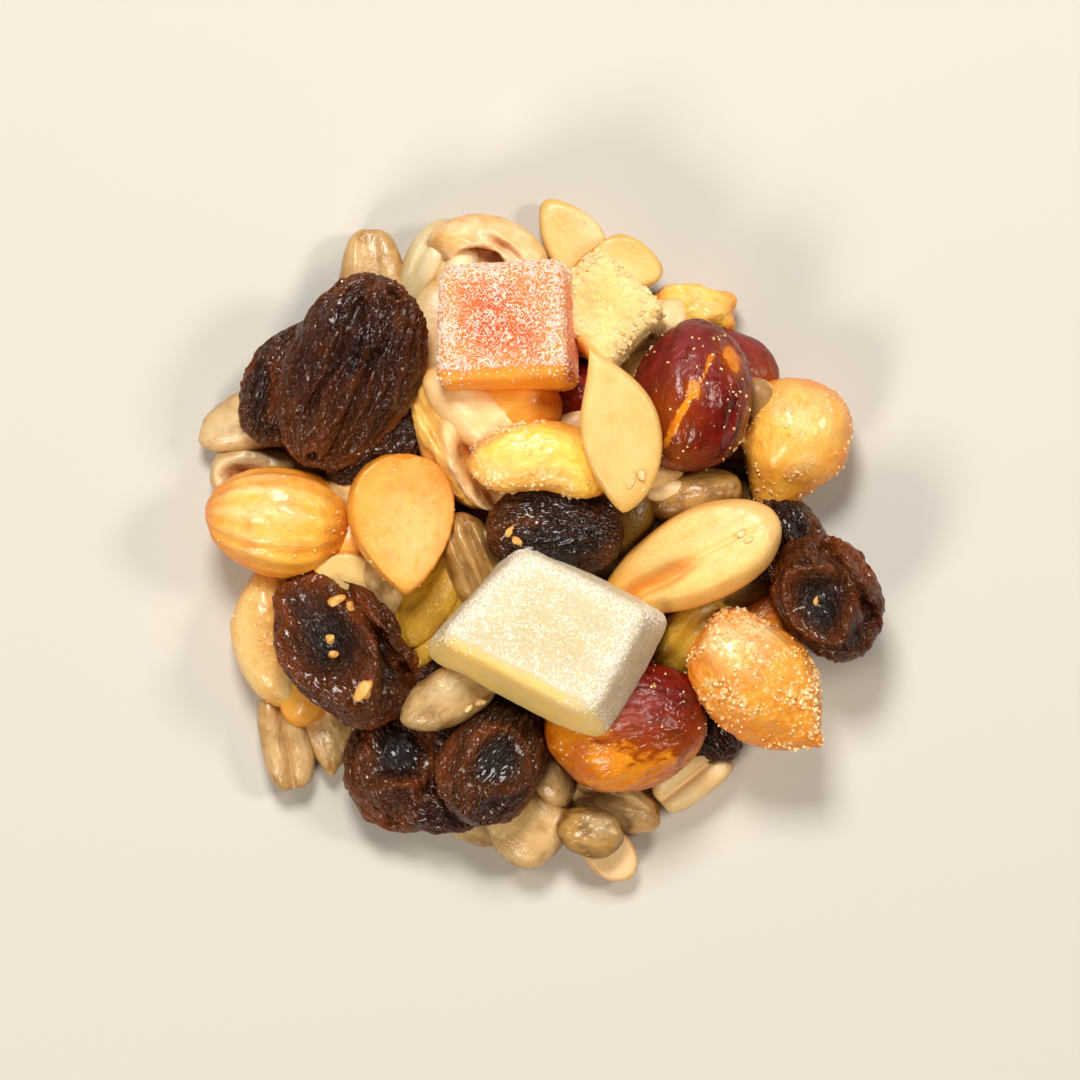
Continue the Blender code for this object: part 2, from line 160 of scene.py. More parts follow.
PIECES: list[Piece] = [
    Piece("kernel_north_west", Group.KERNEL, Tone.TAN, (-16.9, 26.3), 92, (10.3, 6.8, 5), taper=0.26,
          square=0.42, groove=0.5, dents=((0, 12, 13, 0.6),), steps=26),
    Piece("kernel_west_high", Group.KERNEL, Tone.TAN, (-29.6, 12.0), 200, (10.8, 6.4, 5), taper=0.3,
          square=0.2, dents=((-18, 4, 12, 0.9),), steps=24, pale=((0, 60, 40, 0.5),)),
    Piece("kernel_west_low", Group.KERNEL, Tone.TAN, (-28.6, 6.6), 178, (9.8, 5.4, 4.5), square=0.3,
          hollows=((10, 72, 30, 1.3, 0.4),), steps=26),
    Piece("cashew_west", Group.ROASTED, Tone.CASHEW, (-27.5, -10.5), 104, (15.0, 7.2, 7), bend=85,
          lumps=0.05, steps=34, relief=1.3, grit=0.3, bare=((-100, 72, 52, 0.6), (-125, 45, 30, 0.9)),
          pale=((90, 45, 34, 0.5), (180, 40, 22, 0.8))),
    Piece("kernel_south_west", Group.KERNEL, Tone.TAN, (-25.8, -20.0), 100, (10.6, 5.2, 4.5), cleft=0.7,
          groove=0.6, square=0.3, dents=((180, 0, 12, 0.5),), steps=28),
    Piece("kernel_tipped", Group.KERNEL, Tone.TAN, (-21.3, -18.8), -86, (10.4, 6.8, 4.5), tip=0.2,
          point=0.6, taper=0.15, lumps=0.09, steps=26, relief=1.8),
    Piece("nut_under_fold", Group.ROASTED, Tone.AMBER, (-23.2, -14.6), 70, (9, 6, 5), ceiling=6.5),
    Piece("raisin_south_west", Group.RAISINS_LARGE, Tone.RAISIN_RED, (-14.3, -23.6), -60, (12.6, 10.8, 8),
          dents=((60, 55, 28, 0.8), (-40, 30, 22, 0.8)), hollows=((150, 66, 32, 1.5, 0.5),), steps=50,
          pale=((-80, 30, 40, 0.8), (-20, 30, 30, 0.8))),
    Piece("raisin_south_low", Group.RAISINS_SMALL, Tone.RAISIN_RED, (-10.4, -26.6), -12, (9.5, 6, 5),
          ceiling=7, dents=((30, 40, 25, 0.8),), steps=24),
    Piece("kernel_south_edge", Group.KERNEL, Tone.GREY_TAN, (-7.2, -28.6), -25, (8, 4, 3.5), ceiling=4.5),
    Piece("kernel_south_broad", Group.KERNEL, Tone.TAN, (-2.3, -28.0), -42, (10.5, 7.6, 5), taper=-0.25,
          square=0.3, steps=24),
    Piece("seed_south_lumpy", Group.KERNEL, Tone.TAN, (7.6, -26.8), -20, (10, 5.4, 4.5), lumps=0.08,
          steps=26, relief=2.2, furrows=((0.6, 0.4, 0.6, -0.8, 0.5),)),
    Piece("seed_south_flat", Group.PALE_NUT, Tone.CREAM, (7.0, -31.6), -52, (6.8, 4.8, 3), cut=0.4),
    Piece("kernel_south_top", Group.KERNEL, Tone.BROWN, (5.1, -29.4), -12, (7.2, 5.0, 4), lumps=0.07,
          dents=((180, 70, 22, 0.5),), steps=26, relief=1.8, pale=((60, 60, 26, 0.5),)),
    Piece("half_south_east", Group.PALE_NUT, Tone.CREAM, (15.5, -23.8), 38, (8.8, 4.8, 5), cleft=0.8,
          groove=0.5, square=0.4, steps=26),
    Piece("raisin_south_east", Group.RAISINS_SMALL, Tone.RAISIN_RED, (17.0, -18.4), -60, (9, 6.5, 5),
          steps=28),
    Piece("kernel_south_gap", Group.KERNEL, Tone.TAN, (1.2, -24.0), -70, (6.5, 4.2, 4), ceiling=5.5,
          steps=14),
    Piece("nut_north_east", Group.ROASTED, Tone.BRIGHT, (15.8, 23.0), -6, (8.9, 6.4, 6), lumps=0.13,
          steps=32, grit=0.15, relief=2.0, furrows=((1.6, 1.0, 0.8, -0.6, -0.2),),
          pale=((90, 60, 50, 0.6),)),
    Piece("seed_north_east", Group.PALE_NUT, Tone.CREAM, (12.6, 21.4), 60, (6.5, 4.4, 4), ceiling=7),
    Piece("nut_under_dice", Group.ROASTED, Tone.AMBER, (5.6, 25.6), 60, (10, 6.5, 5), steps=12),
    Piece("slice_north", Group.PALE_NUT, Tone.LEAF, (2.9, 30.9), 126, (8.4, 5.8, 3.2), taper=0.3, cut=0.4,
          steps=24, pale=((-100, 40, 30, 0.8),)),
    Piece("slice_north_east", Group.PALE_NUT, Tone.LEAF, (9.0, 28.0), -24, (7.2, 4.8, 3), taper=0.12,
          cut=0.4, steps=24, pale=((-110, 50, 30, 0.8),)),
    Piece("lobe_north_outer", Group.PALE_NUT, Tone.IVORY, (-10.8, 27.6), 63, (10.4, 6.2, 7),
          furrows=((-0.9, 0.35, 0.8, -0.8, 0.9), (1.5, 0.35, 0.6, -0.8, 0.9)), steps=34),
    Piece("lobe_north_inner", Group.PALE_NUT, Tone.IVORY, (-8.3, 26.9), 60, (8.8, 3.8, 7), ceiling=8,
          point=0.4, steps=24),
    Piece("lobe_north_floor", Group.ROASTED, Tone.GOLD, (-4.0, 27.2), -10, (9.5, 5.5, 4.5), steps=14),
    # The hollow on its south side is darkened to toast colour as painted shade.
    Piece("crest_north", Group.KERNEL, Tone.CREAM, (-5.0, 29.9), -12, (12.8, 5.6, 6.5), bend=75,
          lumps=0.04, ceiling=9, hollows=((-100, 42, 30, 1.8, 0.3),), steps=32),
    Piece("nut_between_north", Group.PALE_NUT, Tone.CREAM, (-10.4, 20.6), 85, (11.5, 6.5, 5),
          ceiling=8.5),
    Piece("nut_between_west", Group.PALE_NUT, Tone.CREAM, (-12.8, 13.6), 40, (8.5, 6, 5), ceiling=9),
    Piece("nut_shell_half", Group.KERNEL, Tone.PEANUT, (-8.2, 10.2), -62, (15.5, 8, 7), taper=-0.1,
          lumps=0.05, ceiling=12.5, hollows=((30, 60, 30, 1.4, 0.6),), steps=34, relief=2.0,
          furrows=((-1.8, 0.4, 0.9, -0.9, 0.9),)),
    Piece("half_cream", Group.PALE_NUT, Tone.CREAM, (-6.7, 13.0), -40, (12, 6.2, 5.5), taper=-0.12,
          groove=0.5, ceiling=13.5, steps=28),
    Piece("half_orange", Group.ROASTED, Tone.AMBER, (-2.4, 13.8), -15, (9.5, 7, 6), ceiling=13.5,
          steps=24),
    Piece("nut_dark_gap", Group.RED_SKIN, Tone.RED, (3.0, 14.6), 0, (8.5, 7.5, 7), ceiling=10.5,
          steps=20),
    Piece("seed_middle_gap", Group.PALE_NUT, Tone.CREAM, (3.2, 11.4), 20, (5.5, 3.8, 3.5), ceiling=10.5,
          steps=14),
    Piece("nut_brown_gap", Group.KERNEL, Tone.BROWN, (8.6, 16.6), 30, (10.5, 7.5, 6), ceiling=9),
    Piece("raisin_west_back", Group.RAISINS_SMALL, Tone.RAISIN_RED, (-25.2, 15.6), 64, (13.4, 9.2, 7.5),
          roll=18, hollows=((-70, 58, 34, 1.8, 0.5),), steps=46),
    Piece("raisin_west_under", Group.RAISINS_SMALL, Tone.RAISIN, (-16.4, 9.4), 35, (11.5, 6.8, 6),
          ceiling=11, steps=36),
    Piece("kernel_west_gap", Group.KERNEL, Tone.TAN, (-18.8, 5.2), 30, (8.5, 5.2, 4.5), ceiling=9),
    Piece("nut_west_gap", Group.ROASTED, Tone.AMBER, (-18.8, -1.0), -70, (9.5, 6.2, 5), ceiling=8.5),
    Piece("half_west_gap", Group.PALE_NUT, Tone.LEAF, (-19.3, -3.4), -5, (6.8, 4.2, 3.5), cut=0.4,
          ceiling=9),
    Piece("kernel_grey_gap", Group.KERNEL, Tone.GREY_TAN, (-16.0, -4.4), -60, (8.5, 4.6, 4), ceiling=9.5),
    Piece("pepita_upper", Group.GREEN, Tone.OLIVE, (-11.4, -5.8), 55, (12.5, 6.4, 3), roll=-28, cut=0.8,
          ceiling=10.5, steps=24),
    Piece("pepita_lower", Group.GREEN, Tone.OLIVE, (-11.4, -9.6), 50, (8.5, 4.6, 2.8), roll=-20, cut=0.8,
          ceiling=9.5, steps=20),
    Piece("kernel_olive_gap", Group.GREEN, Tone.OLIVE, (-8.3, -6.6), -70, (8.5, 5, 4), groove=0.6,
          ceiling=10),
    Piece("kernel_olive_ridged", Group.KERNEL, Tone.BROWN, (-6.4, -2.6), -70, (11.4, 5.8, 5),
          ceiling=12.5, steps=30, relief=1.4,
          furrows=((-1.0, 0.35, 0.7, -0.8, 0.9), (0.5, 0.35, 0.9, -0.7, 0.9), (1.8, 0.3, 0.6, -0.6, 0.8))),
    Piece("raisin_middle_gap", Group.RAISINS_SMALL, Tone.RAISIN, (-10.8, -12.4), 30, (9.5, 6.2, 5),
          ceiling=9, steps=22),
    Piece("raisin_south_gap", Group.RAISINS_SMALL, Tone.RAISIN, (-8.8, -19.4), -40, (9.5, 6.5, 5.5),
          ceiling=8, steps=22),
    Piece("kernel_olive_east", Group.GREEN, Tone.OLIVE_BROWN, (8.7, 2.0), 60, (8.5, 5.4, 5),
          ceiling=10.5),
    Piece("kernel_east_tan", Group.KERNEL, Tone.BROWN, (15.6, 4.4), 14, (9.8, 5.2, 5), steps=22),
    Piece("sliver_east_one", Group.KERNEL, Tone.TAN, (12.2, 6.4), 25, (5, 2.4, 2.2), ceiling=10.5,
          steps=10),
    Piece("sliver_east_two", Group.PALE_NUT, Tone.CREAM, (12.8, 4.9), 12, (4.6, 2.2, 2.2), ceiling=10.5,
          steps=10),
    Piece("pepita_east", Group.GREEN, Tone.OLIVE, (15.1, -9.6), 50, (9.5, 6.6, 5), groove=0.8, steps=24),
    Piece("kernel_olive_low", Group.GREEN, Tone.OLIVE_BROWN, (19.6, -5.2), 15, (8, 4.6, 4.5), ceiling=8),
    Piece("nut_amber_gap", Group.RED_SKIN, Tone.RED, (22.6, -8.4), 20, (9.5, 7, 5.5), steps=16, bare=((0,
          90, 80, 1.0),)),
    Piece("raisin_east_dark", Group.RAISINS_SMALL, Tone.RAISIN_DARK, (24.8, -0.7), -64, (12.2, 8.6, 7.5),
          dents=((80, 50, 24, 1.4),), furrows=((-0.6, 0.6, 1.0, -0.9, 0.9),), steps=42),
    Piece("raisin_east_open", Group.RAISINS_LARGE, Tone.RAISIN_RED, (28.9, -5.8), -60, (13.6, 10.2, 8.5),
          dents=((95, 20, 14, 1.2), (160, 30, 20, 0.8), (20, 40, 14, 0.9)), hollows=((-80, 70, 27, 3.0,
          0.4),), steps=50, furrows=((2.5, 0.6, 1.8, -0.9, 0.9),), pale=((110, 30, 34, 1.0),)),
    Piece("red_nut_south", Group.RED_SKIN, Tone.RED, (8.7, -18.6), 8, (16.5, 13.4, 11.5), dents=((60, 62,
          34, 1.2),), steps=44, grit=0.08, relief=1.6, bare=((-170, 36, 50, 1.0), (-125, 36, 50, 1.0),
          (-85, 30, 44, 1.0), (-35, 12, 26, 0.8)), pale=((70, 70, 26, 1.0), (160, 76, 18, 0.7))),
    Piece("raisin_middle", Group.RAISINS_SMALL, Tone.RAISIN_DARK, (1.5, 0.9), -3, (14.2, 9.4, 7),
          dents=((0, 90, 30, 0.6),), steps=52, bare=((0, 90, 34, 0.2),), pale=((180, 30, 26, 0.5),)),
    Piece("skin_flap_east", Group.RED_SKIN, Tone.RED, (20.0, 17.6), -50, (9.7, 6.4, 6), lumps=0.12,
          steps=26, bare=((0, 30, 50, 0.6),), pale=((110, 50, 44, 1.0),)),
    Piece("seed_east_gap", Group.PALE_NUT, Tone.CREAM, (21.4, 14.6), 0, (4.6, 3.4, 3.4), steps=10),
    Piece("candied_dice", Group.DICE, Tone.YELLOW, (6.4, 22.8), -43, (9.8, 8.8, 8), pitch=7, roll=-4,
          square=0.75, lumps=0.035, steps=36),
    Piece("red_nut_east", Group.RED_SKIN, Tone.RED, (15.3, 14.2), 82, (15.2, 12.2, 12), taper=0.08,
          tip=0.04, steps=44, grit=0.2, relief=1.4, bare=((-43, 36, 14, 1.0), (20, 84, 9, 1.0),
          (127, 60, 28, 0.45), (160, 34, 22, 0.5)), pale=((14, 50, 34, 0.9),),
          cracks=((0.07, -0.4, 0.055, -0.95, 0.6),)),
    # Its pale patches on top are painted highlights.
    Piece("coated_nut_east", Group.ROASTED, Tone.GOLD, (25.0, 8.8), -112, (15.4, 11.3, 10), taper=0.2,
          point=0.5, tip=0.4, lumps=0.04, steps=42, grit=0.4, relief=1.0,
          pale=((180, 60, 34, 0.6), (60, 66, 18, 0.4))),
    Piece("coated_nut_south_east", Group.ROASTED, Tone.HONEY, (22.2, -14.6), -46, (16.8, 11.3, 10),
          taper=0.1, point=0.35, tip=0.2, lumps=0.09, dents=((30, 5, 16, 1.0), (150, 40, 12, 0.5)),
          steps=48, grit=1.0, relief=2.2, pale=((166, 50, 22, 1.0), (130, 30, 20, 1.0))),
    # Its pale patch, kept to the ridge crests, is a painted highlight.
    Piece("ridged_nut_west", Group.ROASTED, Tone.GOLD, (-26.4, 1.9), 173, (14.8, 10.9, 10), taper=0.06,
          tip=0.03, steps=44, grit=0.12, ridges=15, relief=0.9, pale=((-40, 66, 40, 1.0),)),
    Piece("half_nut_west", Group.ROASTED, Tone.AMBER, (-13.7, 1.6), -88, (14.2, 10.6, 6.5), pitch=4,
          roll=-12, taper=0.16, tip=0.1, point=0.25, cut=0.25, ceiling=15, dents=((178, 14, 7, 0.5),),
          steps=36, relief=0.8, grit=0.1, pale=((30, 70, 44, 0.45),)),
    Piece("yellow_arch", Group.ROASTED, Tone.BRIGHT, (0.2, 8.3), -3, (14.4, 6.8, 7), bend=95, lumps=0.05,
          square=0.3, ceiling=17.5, steps=44, grit=0.8, relief=1.6,
          pale=((170, 60, 60, 0.5), (-90, 70, 50, 0.4))),
    Piece("kernel_front", Group.KERNEL, Tone.GREY_TAN, (-8.9, -15.6), 28, (11.2, 5.8, 5), groove=0.25,
          clear=0.85, steps=28, pale=((80, 70, 24, 0.6),)),
    Piece("raisin_folded", Group.RAISINS_LARGE, Tone.RAISIN, (-19.5, -10.9), -50, (17.2, 12.4, 8),
          roll=-10, hollows=((-138, 52, 42, 3.6, 0.8),),
          dents=((-70, 12, 16, 1.0), (-146, 8, 15, 1.8), (-168, 12, 14, -1.2)),
          furrows=((3.1, 0.7, 1.9, -0.9, 0.95),), steps=62, pale=((170, 30, 26, 0.6),)),
    Piece("raisin_south", Group.RAISINS_LARGE, Tone.RAISIN_DARK, (-4.6, -22.0), 62, (13.4, 10.4, 8),
          taper=0.1, hollows=((0, 86, 28, 0.9, 0.3),), steps=50, pale=((125, 30, 28, 1.0),)),
    Piece("split_peanut", Group.PALE_NUT, Tone.PEANUT, (15.2, -2.0), 26, (19.4, 9.3, 7), pitch=8,
          roll=-14, taper=-0.18, cut=0.6, clear=0.8, steps=42, pale=((0, 50, 50, 0.5),),
          furrows=((-1.0, 0.8, 2.3, -1.2, 0.0), (-0.5, 0.22, 0.4, 0.0, 0.75))),
    Piece("leaf_half", Group.PALE_NUT, Tone.LEAF, (7.9, 11.2), -78, (17.0, 8.0, 3.2), pitch=-6, roll=-10,
          taper=-0.22, point=0.5, back_point=1.5, bend=40, tip=0.06, cut=0.4, clear=0.93, steps=36,
          grit=0.05),
    Piece("raisin_large", Group.RAISINS_LARGE, Tone.RAISIN, (-18.9, 16.6), 64, (21, 13.4, 8.5), pitch=6,
          taper=-0.06, dents=((100, 60, 20, 0.4), (-60, 40, 24, 0.5)),
          hollows=((-3, 24, 8, 1.4, 0.6), (183, 30, 7, 1.3, 0.5)), steps=68, pale=((180, 40, 30, 0.7),),
          furrows=((-1.6, 0.5, 0.8, -0.8, 0.5), (2.2, 0.6, 0.9, -0.5, 0.8))),
    Piece("candied_block_orange", Group.ORANGE_CUBE, Tone.ORANGE, (-3.3, 21.2), 3, (13.2, 12.4, 9),
          pitch=8, roll=-7, square=1.0, lumps=0.01, flare=0.03, keystone=0.026, steps=44),
    Piece("candied_block_pale", Group.PALE_WEDGE, Tone.WHITE, (1.2, -9.4), -27, (17.8, 13.9, 9.5),
          pitch=7, roll=-5, square=0.95, lumps=0.015, flare=0.12, keystone=0.09, steps=48),
]

# Rough crumbs that lie on top, and the smooth germs and scars of the nuts under them.
ROUGH = {"lumps": 0.3, "square": 0.15, "clear": 0.9, "steps": 12}
SMOOTH = {"clear": 0.9, "steps": 8}
PIECES += [
    Piece(name, Group.CRUMB, tone, at, yaw, size, **kind)
    for name, tone, at, yaw, size, kind in (
        ("crumb_on_fold", Tone.CRUMB, (-17.5, -14.9), 60, (2.4, 1.7, 1.2), {**ROUGH, "steps": 16}),
        ("crumb_by_hollow", Tone.CRUMB, (-20.3, -6.0), 30, (1.6, 1.0, 0.8), ROUGH),
        ("crumb_on_rim", Tone.CRUMB, (-19.0, -6.6), 110, (1.0, 0.7, 0.6), ROUGH),
        ("crumb_in_hollow", Tone.CRUMB, (-21.0, -9.9), 80, (1.0, 0.8, 0.6), ROUGH),
        ("crumb_below_hollow", Tone.CRUMB, (-20.7, -11.4), 10, (0.9, 0.7, 0.6), ROUGH),
        ("crumb_on_middle", Tone.CRUMB, (-3.0, 0.9), 40, (1.3, 0.7, 0.5), ROUGH),
        ("crumb_by_middle", Tone.CRUMB, (-2.3, -0.1), -30, (1.1, 0.7, 0.5), ROUGH),
        ("crumb_in_front", Tone.CREAM, (-6.0, -16.2), 20, (1.0, 0.8, 0.6), ROUGH),
        ("crumb_by_front", Tone.CREAM, (-7.1, -16.8), 50, (1.0, 0.6, 0.5), ROUGH),
        ("crumb_east", Tone.CRUMB, (27.6, -6.1), 70, (1.0, 0.6, 0.5), ROUGH),
        ("germ_upper", Tone.IVORY, (20.0, 0.6), 30, (1.0, 0.7, 0.6), SMOOTH),
        ("germ_lower", Tone.IVORY, (20.7, 0.0), 20, (1.0, 0.7, 0.6), SMOOTH),
        ("scar_left", Tone.CREAM, (9.0, 5.9), 66, (2.0, 0.9, 0.6), SMOOTH),
        ("scar_right", Tone.CREAM, (10.0, 6.4), 104, (1.2, 0.8, 0.6), SMOOTH),
    )
]


# Forms, and the rule that lays the pieces.


def bed_height(radius: np.ndarray) -> np.ndarray:
    """Height of the bed under the pieces at each distance from the middle."""
    inside = np.clip(1.0 - (radius / BED_RADIUS) ** 2, 0.0, 1.0)
    return BED_HEIGHT * inside**BED_EVENNESS


def even_directions(count: int) -> np.ndarray:
    """Directions spread evenly over the sphere along a golden spiral.

    Args:
        count: How many.

    Returns:
        One unit vector in each row.
    """
    step = np.arange(count) + 0.5
    height = 1.0 - 2.0 * step / count
    angle = step * math.pi * (3.0 - math.sqrt(5.0))
    ring = np.sqrt(1.0 - height**2)
    return np.stack([height, ring * np.cos(angle), ring * np.sin(angle)], axis=1)


def ripple(directions: np.ndarray, seed: int) -> np.ndarray:
    """A smooth uneven value for each direction.

    Args:
        directions: One in each row; longer ones give closer waves.
        seed: Fixes the waves.

    Returns:
        Values near -1 to 1.
    """
    draw = np.random.default_rng(seed)
    axes = draw.normal(size=(WAVES, 3)) * WAVE_PITCH
    phases = draw.uniform(0.0, 2.0 * math.pi, WAVES)
    return np.sin(directions @ axes.T + phases).mean(axis=1) * 2.2


def squared(directions: np.ndarray, share: float) -> np.ndarray:
    """The sphere's points pushed out towards a rounded box.

    Args:
        directions: Unit vectors.
        share: 0 for the sphere, 1 for a box with small rounds.

    Returns:
        One point for each direction.
    """
    power = 2.0 + 8.0 * share**2
    reach = (np.abs(directions) ** power).sum(axis=1) ** (1.0 / power)
    return directions / reach[:, None]


def soft_ceiling(height: np.ndarray, level: float, softness: float = 0.25) -> np.ndarray:
    """The lower of height and level, with a small round where they meet."""
    gap = (height - level) / softness
    return level - softness * np.logaddexp(0.0, -gap)


def toward(azimuth: float, elevation: float) -> np.ndarray:
    """The unit vector at an azimuth and elevation in degrees."""
    across, up = math.radians(azimuth), math.radians(elevation)
    return np.array([math.cos(up) * math.cos(across), math.cos(up) * math.sin(across), math.sin(up)])


def turn_from(directions: np.ndarray, azimuth: float, elevation: float) -> np.ndarray:
    """Angle in degrees between each direction and the one at an azimuth and elevation."""
    return np.degrees(np.arccos(np.clip(directions @ toward(azimuth, elevation), -1.0, 1.0)))


def nearness(directions: np.ndarray, azimuth: float, elevation: float, spread: float) -> np.ndarray:
    """One at a direction, falling to nothing over about spread degrees around it."""
    return np.exp(-((turn_from(directions, azimuth, elevation) / spread) ** 2))


def hollow_parts(hollow: tuple, directions: np.ndarray, seed: int) -> tuple[np.ndarray, np.ndarray]:
    """Where the floor of a hollow and the rim around it lie.

    Args:
        hollow: Its azimuth, elevation and spread in degrees, then its depth and rim in mm.
        directions: Unit vectors, one for each point of the surface.
        seed: Fixes the hollow's uneven outline.

    Returns:
        Share of floor and share of rim at each point, from 0 to 1.
    """
    azimuth, elevation, spread, _, _ = hollow
    uneven = 1.0 + 0.36 * ripple(directions, seed + 100)
    turn = turn_from(directions, azimuth, elevation) / spread * uneven
    return np.exp(-(turn**4)), np.exp(-(((turn - 1.2) / 0.28) ** 2))


def form(piece: Piece, directions: np.ndarray, seed: int) -> np.ndarray:
    """The piece's surface in its own frame, in mm: its long axis and tip on +X, its face on +Z.

    Args:
        piece: The piece with its sizes.
        directions: Unit vectors, one for each point of the surface.
        seed: Number of the piece, which fixes its uneven lumps.

    Returns:
        One point for each direction.
    """
    length, width, height = piece.size
    unit = squared(directions, piece.square)
    unit = unit * (1.0 + piece.lumps * ripple(directions, seed))[:, None]
    along = unit[:, 0]
    narrowing = np.where(along > 0.0, piece.point, piece.back_point) / 2.0
    girth = (1.0 - piece.taper * along) * np.clip(1.0 - along**2, 1e-6, 1.0) ** narrowing
    pull = piece.tip * np.clip(along, 0.0, 1.0) ** 4
    rise = height / (1.0 + piece.cut)
    spread = 1.0 - piece.flare * unit[:, 2]
    x = (along + pull - piece.tip / 2.0) / (1.0 + piece.tip / 2.0) * length / 2.0 * spread
    y = unit[:, 1] * girth * width / 2.0 * spread
    z = unit[:, 2] * girth * rise
    x = x * (1.0 - piece.keystone * unit[:, 1]) + piece.keystone * unit[:, 1] * length / 2.0
    if piece.cut < 1.0:
        z = soft_ceiling(z, piece.cut * rise)
    fade = np.clip(unit[:, 2] * 2.0, 0.0, 1.0) * np.sqrt(np.clip(1.0 - along**2, 0.0, 1.0))
    for depth, share in ((piece.groove, 0.16), (piece.cleft, 0.055)):
        z = z - depth * fade * np.exp(-((y / (share * width)) ** 2))
    for offset, breadth, depth, start, end in piece.furrows:
        within = 1.0 / ((1.0 + np.exp((start - along) / 0.06)) * (1.0 + np.exp((along - end) / 0.06)))
        across = (y - offset + 0.5 * breadth * ripple(directions * 1.5, seed + 800)) / breadth
        z = z - depth * within * np.clip(unit[:, 2] * 2.0, 0.0, 1.0) * np.exp(-(across**2))
    points = np.stack([x, y, z], axis=1)
    for azimuth, elevation, spread_angle, depth in piece.dents:
        near = nearness(directions, azimuth, elevation, spread_angle)
        points -= directions * (depth * near)[:, None]
    for hollow in piece.hollows:
        floor, rim = hollow_parts(hollow, directions, seed)
        points -= directions * (hollow[3] * floor - hollow[4] * rim)[:, None]
    if piece.bend:
        radius = length / math.radians(piece.bend)
        turn = points[:, 0] / radius
        reach = radius + points[:, 1]
        points[:, 0] = reach * np.sin(turn)
        points[:, 1] = reach * np.cos(turn) - radius
    return points


def tilt_matrix(piece: Piece) -> np.ndarray:
    """Rotation of a laid piece: roll about its length, tip end up by pitch, then yaw.

    Args:
        piece: The piece.

    Returns:
        A matrix of three rows.
    """
    turn = Matrix.Rotation(math.radians(piece.yaw), 3, "Z")
    lift = Matrix.Rotation(math.radians(-piece.pitch), 3, "Y")
    lean = Matrix.Rotation(math.radians(piece.roll), 3, "X")
    return np.array(turn @ lift @ lean)


class HeightMap:
    """The heap's top so far, on a square grid, used to lay each piece on what is under it."""

    def __init__(self) -> None:
        """Starts from the bed."""
        count = int(2 * MAP_HALF_WIDTH / MAP_CELL)
        middles = (np.arange(count) + 0.5) * MAP_CELL - MAP_HALF_WIDTH
        self.top = bed_height(np.hypot(middles[:, None], middles[None, :]))

    def cells(self, points: np.ndarray) -> tuple[np.ndarray, np.ndarray]:
        """Row and column of each point's cell."""
        places = np.floor((points[:, :2] + MAP_HALF_WIDTH) / MAP_CELL).astype(int)
        return places[:, 0], places[:, 1]

    def rest_height(self, points: np.ndarray, share: float) -> float:
        """How far up a piece moves to lie on the heap.

        Args:
            points: The piece's surface, turned and in place but for its height.
            share: Share of its footprint that has to clear the heap.

        Returns:
            The rise in mm.
        """
        underside = np.full(self.top.shape, np.inf)
        np.minimum.at(underside, self.cells(points), points[:, 2])
        covered = np.isfinite(underside)
        need = np.quantile(self.top[covered] - underside[covered], share)
        return max(float(need) - SINK, FLOOR_CLEARANCE - float(points[:, 2].min()))

    def add(self, points: np.ndarray) -> None:
        """Raises the map to the laid piece's top."""
        np.maximum.at(self.top, self.cells(points), points[:, 2])


@dataclass(frozen=True)
class Laid:
    """A piece with the number, rotation and place that the rule gave it."""

    piece: Piece
    seed: int
    rotation: np.ndarray
    place: np.ndarray


def lay(pieces: list[Piece]) -> list[Laid]:
    """Lays every piece on what already lies there.

    Args:
        pieces: The pieces in the order in which they fall.

    Returns:
        The laid pieces, in mm in the list's frame.
    """
    heap = HeightMap()
    probe = even_directions(PROBE_POINTS)
    laid = []
    for seed, piece in enumerate(pieces):
        rotation = tilt_matrix(piece)
        surface = form(piece, probe, seed) @ rotation.T
        surface[:, :2] += piece.at
        rise = min(heap.rest_height(surface, piece.clear), piece.ceiling - surface[:, 2].max())
        surface[:, 2] += rise
        heap.add(surface)
        log.debug("%s: raised by %.2f mm", piece.name, rise)
        laid.append(Laid(piece, seed, rotation, np.array([*piece.at, rise])))
    return laid


# Meshes.


@lru_cache(maxsize=None)
def cube_grid(steps: int) -> tuple[np.ndarray, np.ndarray]:
    """A cube of side 2 with even squares once its points are pulled onto a sphere.

    Args:
        steps: Squares along each edge.

    Returns:
        The corners, and four corner numbers for each face, outward.
    """
    line = np.tan(np.linspace(-1.0, 1.0, steps + 1) * math.pi / 4.0)
    u, v = np.meshgrid(line, line, indexing="ij")
    one = np.ones_like(u)
    sides = [(one, u, v), (-one, v, u), (v, one, u), (u, -one, v), (u, v, one), (v, u, -one)]
    corners = np.concatenate([np.stack(side, axis=-1).reshape(-1, 3) for side in sides])
    row, column = np.meshgrid(np.arange(steps), np.arange(steps), indexing="ij")
    first = (row * (steps + 1) + column).reshape(-1)
    square = np.stack([first, first + steps + 1, first + steps + 2, first + 1], axis=1)
    faces = np.concatenate([square + side * (steps + 1) ** 2 for side in range(6)])
    merged, number = np.unique(np.round(corners, 6), axis=0, return_inverse=True)
    return merged, number.reshape(-1)[faces]


def linear(hex_colour: str) -> tuple[float, float, float]:
    """An sRGB hex colour as linear red, green and blue."""
    channels = [int(hex_colour[i : i + 2], 16) / 255 for i in (0, 2, 4)]
    return tuple(c / 12.92 if c <= 0.04045 else ((c + 0.055) / 1.055) ** 2.4 for c in channels)


def write_mesh(name: str, points: np.ndarray, faces: np.ndarray) -> Mesh:
    """Makes a smooth mesh.

    Args:
        name: Its name.
        points: Points in metres, one in each row.
        faces: Corner numbers of one face in each row.

    Returns:
        The mesh.
    """
    mesh = bpy.data.meshes.new(name)
    sides = faces.shape[1]
    mesh.vertices.add(len(points))
    mesh.vertices.foreach_set("co", points.astype(np.float32).ravel())
    mesh.loops.add(faces.size)
    mesh.loops.foreach_set("vertex_index", faces.astype(np.int32).ravel())
    mesh.polygons.add(len(faces))
    mesh.polygons.foreach_set("loop_start", np.arange(0, faces.size, sides, dtype=np.int32))
    mesh.update(calc_edges=True)
    mesh.shade_smooth()
    return mesh


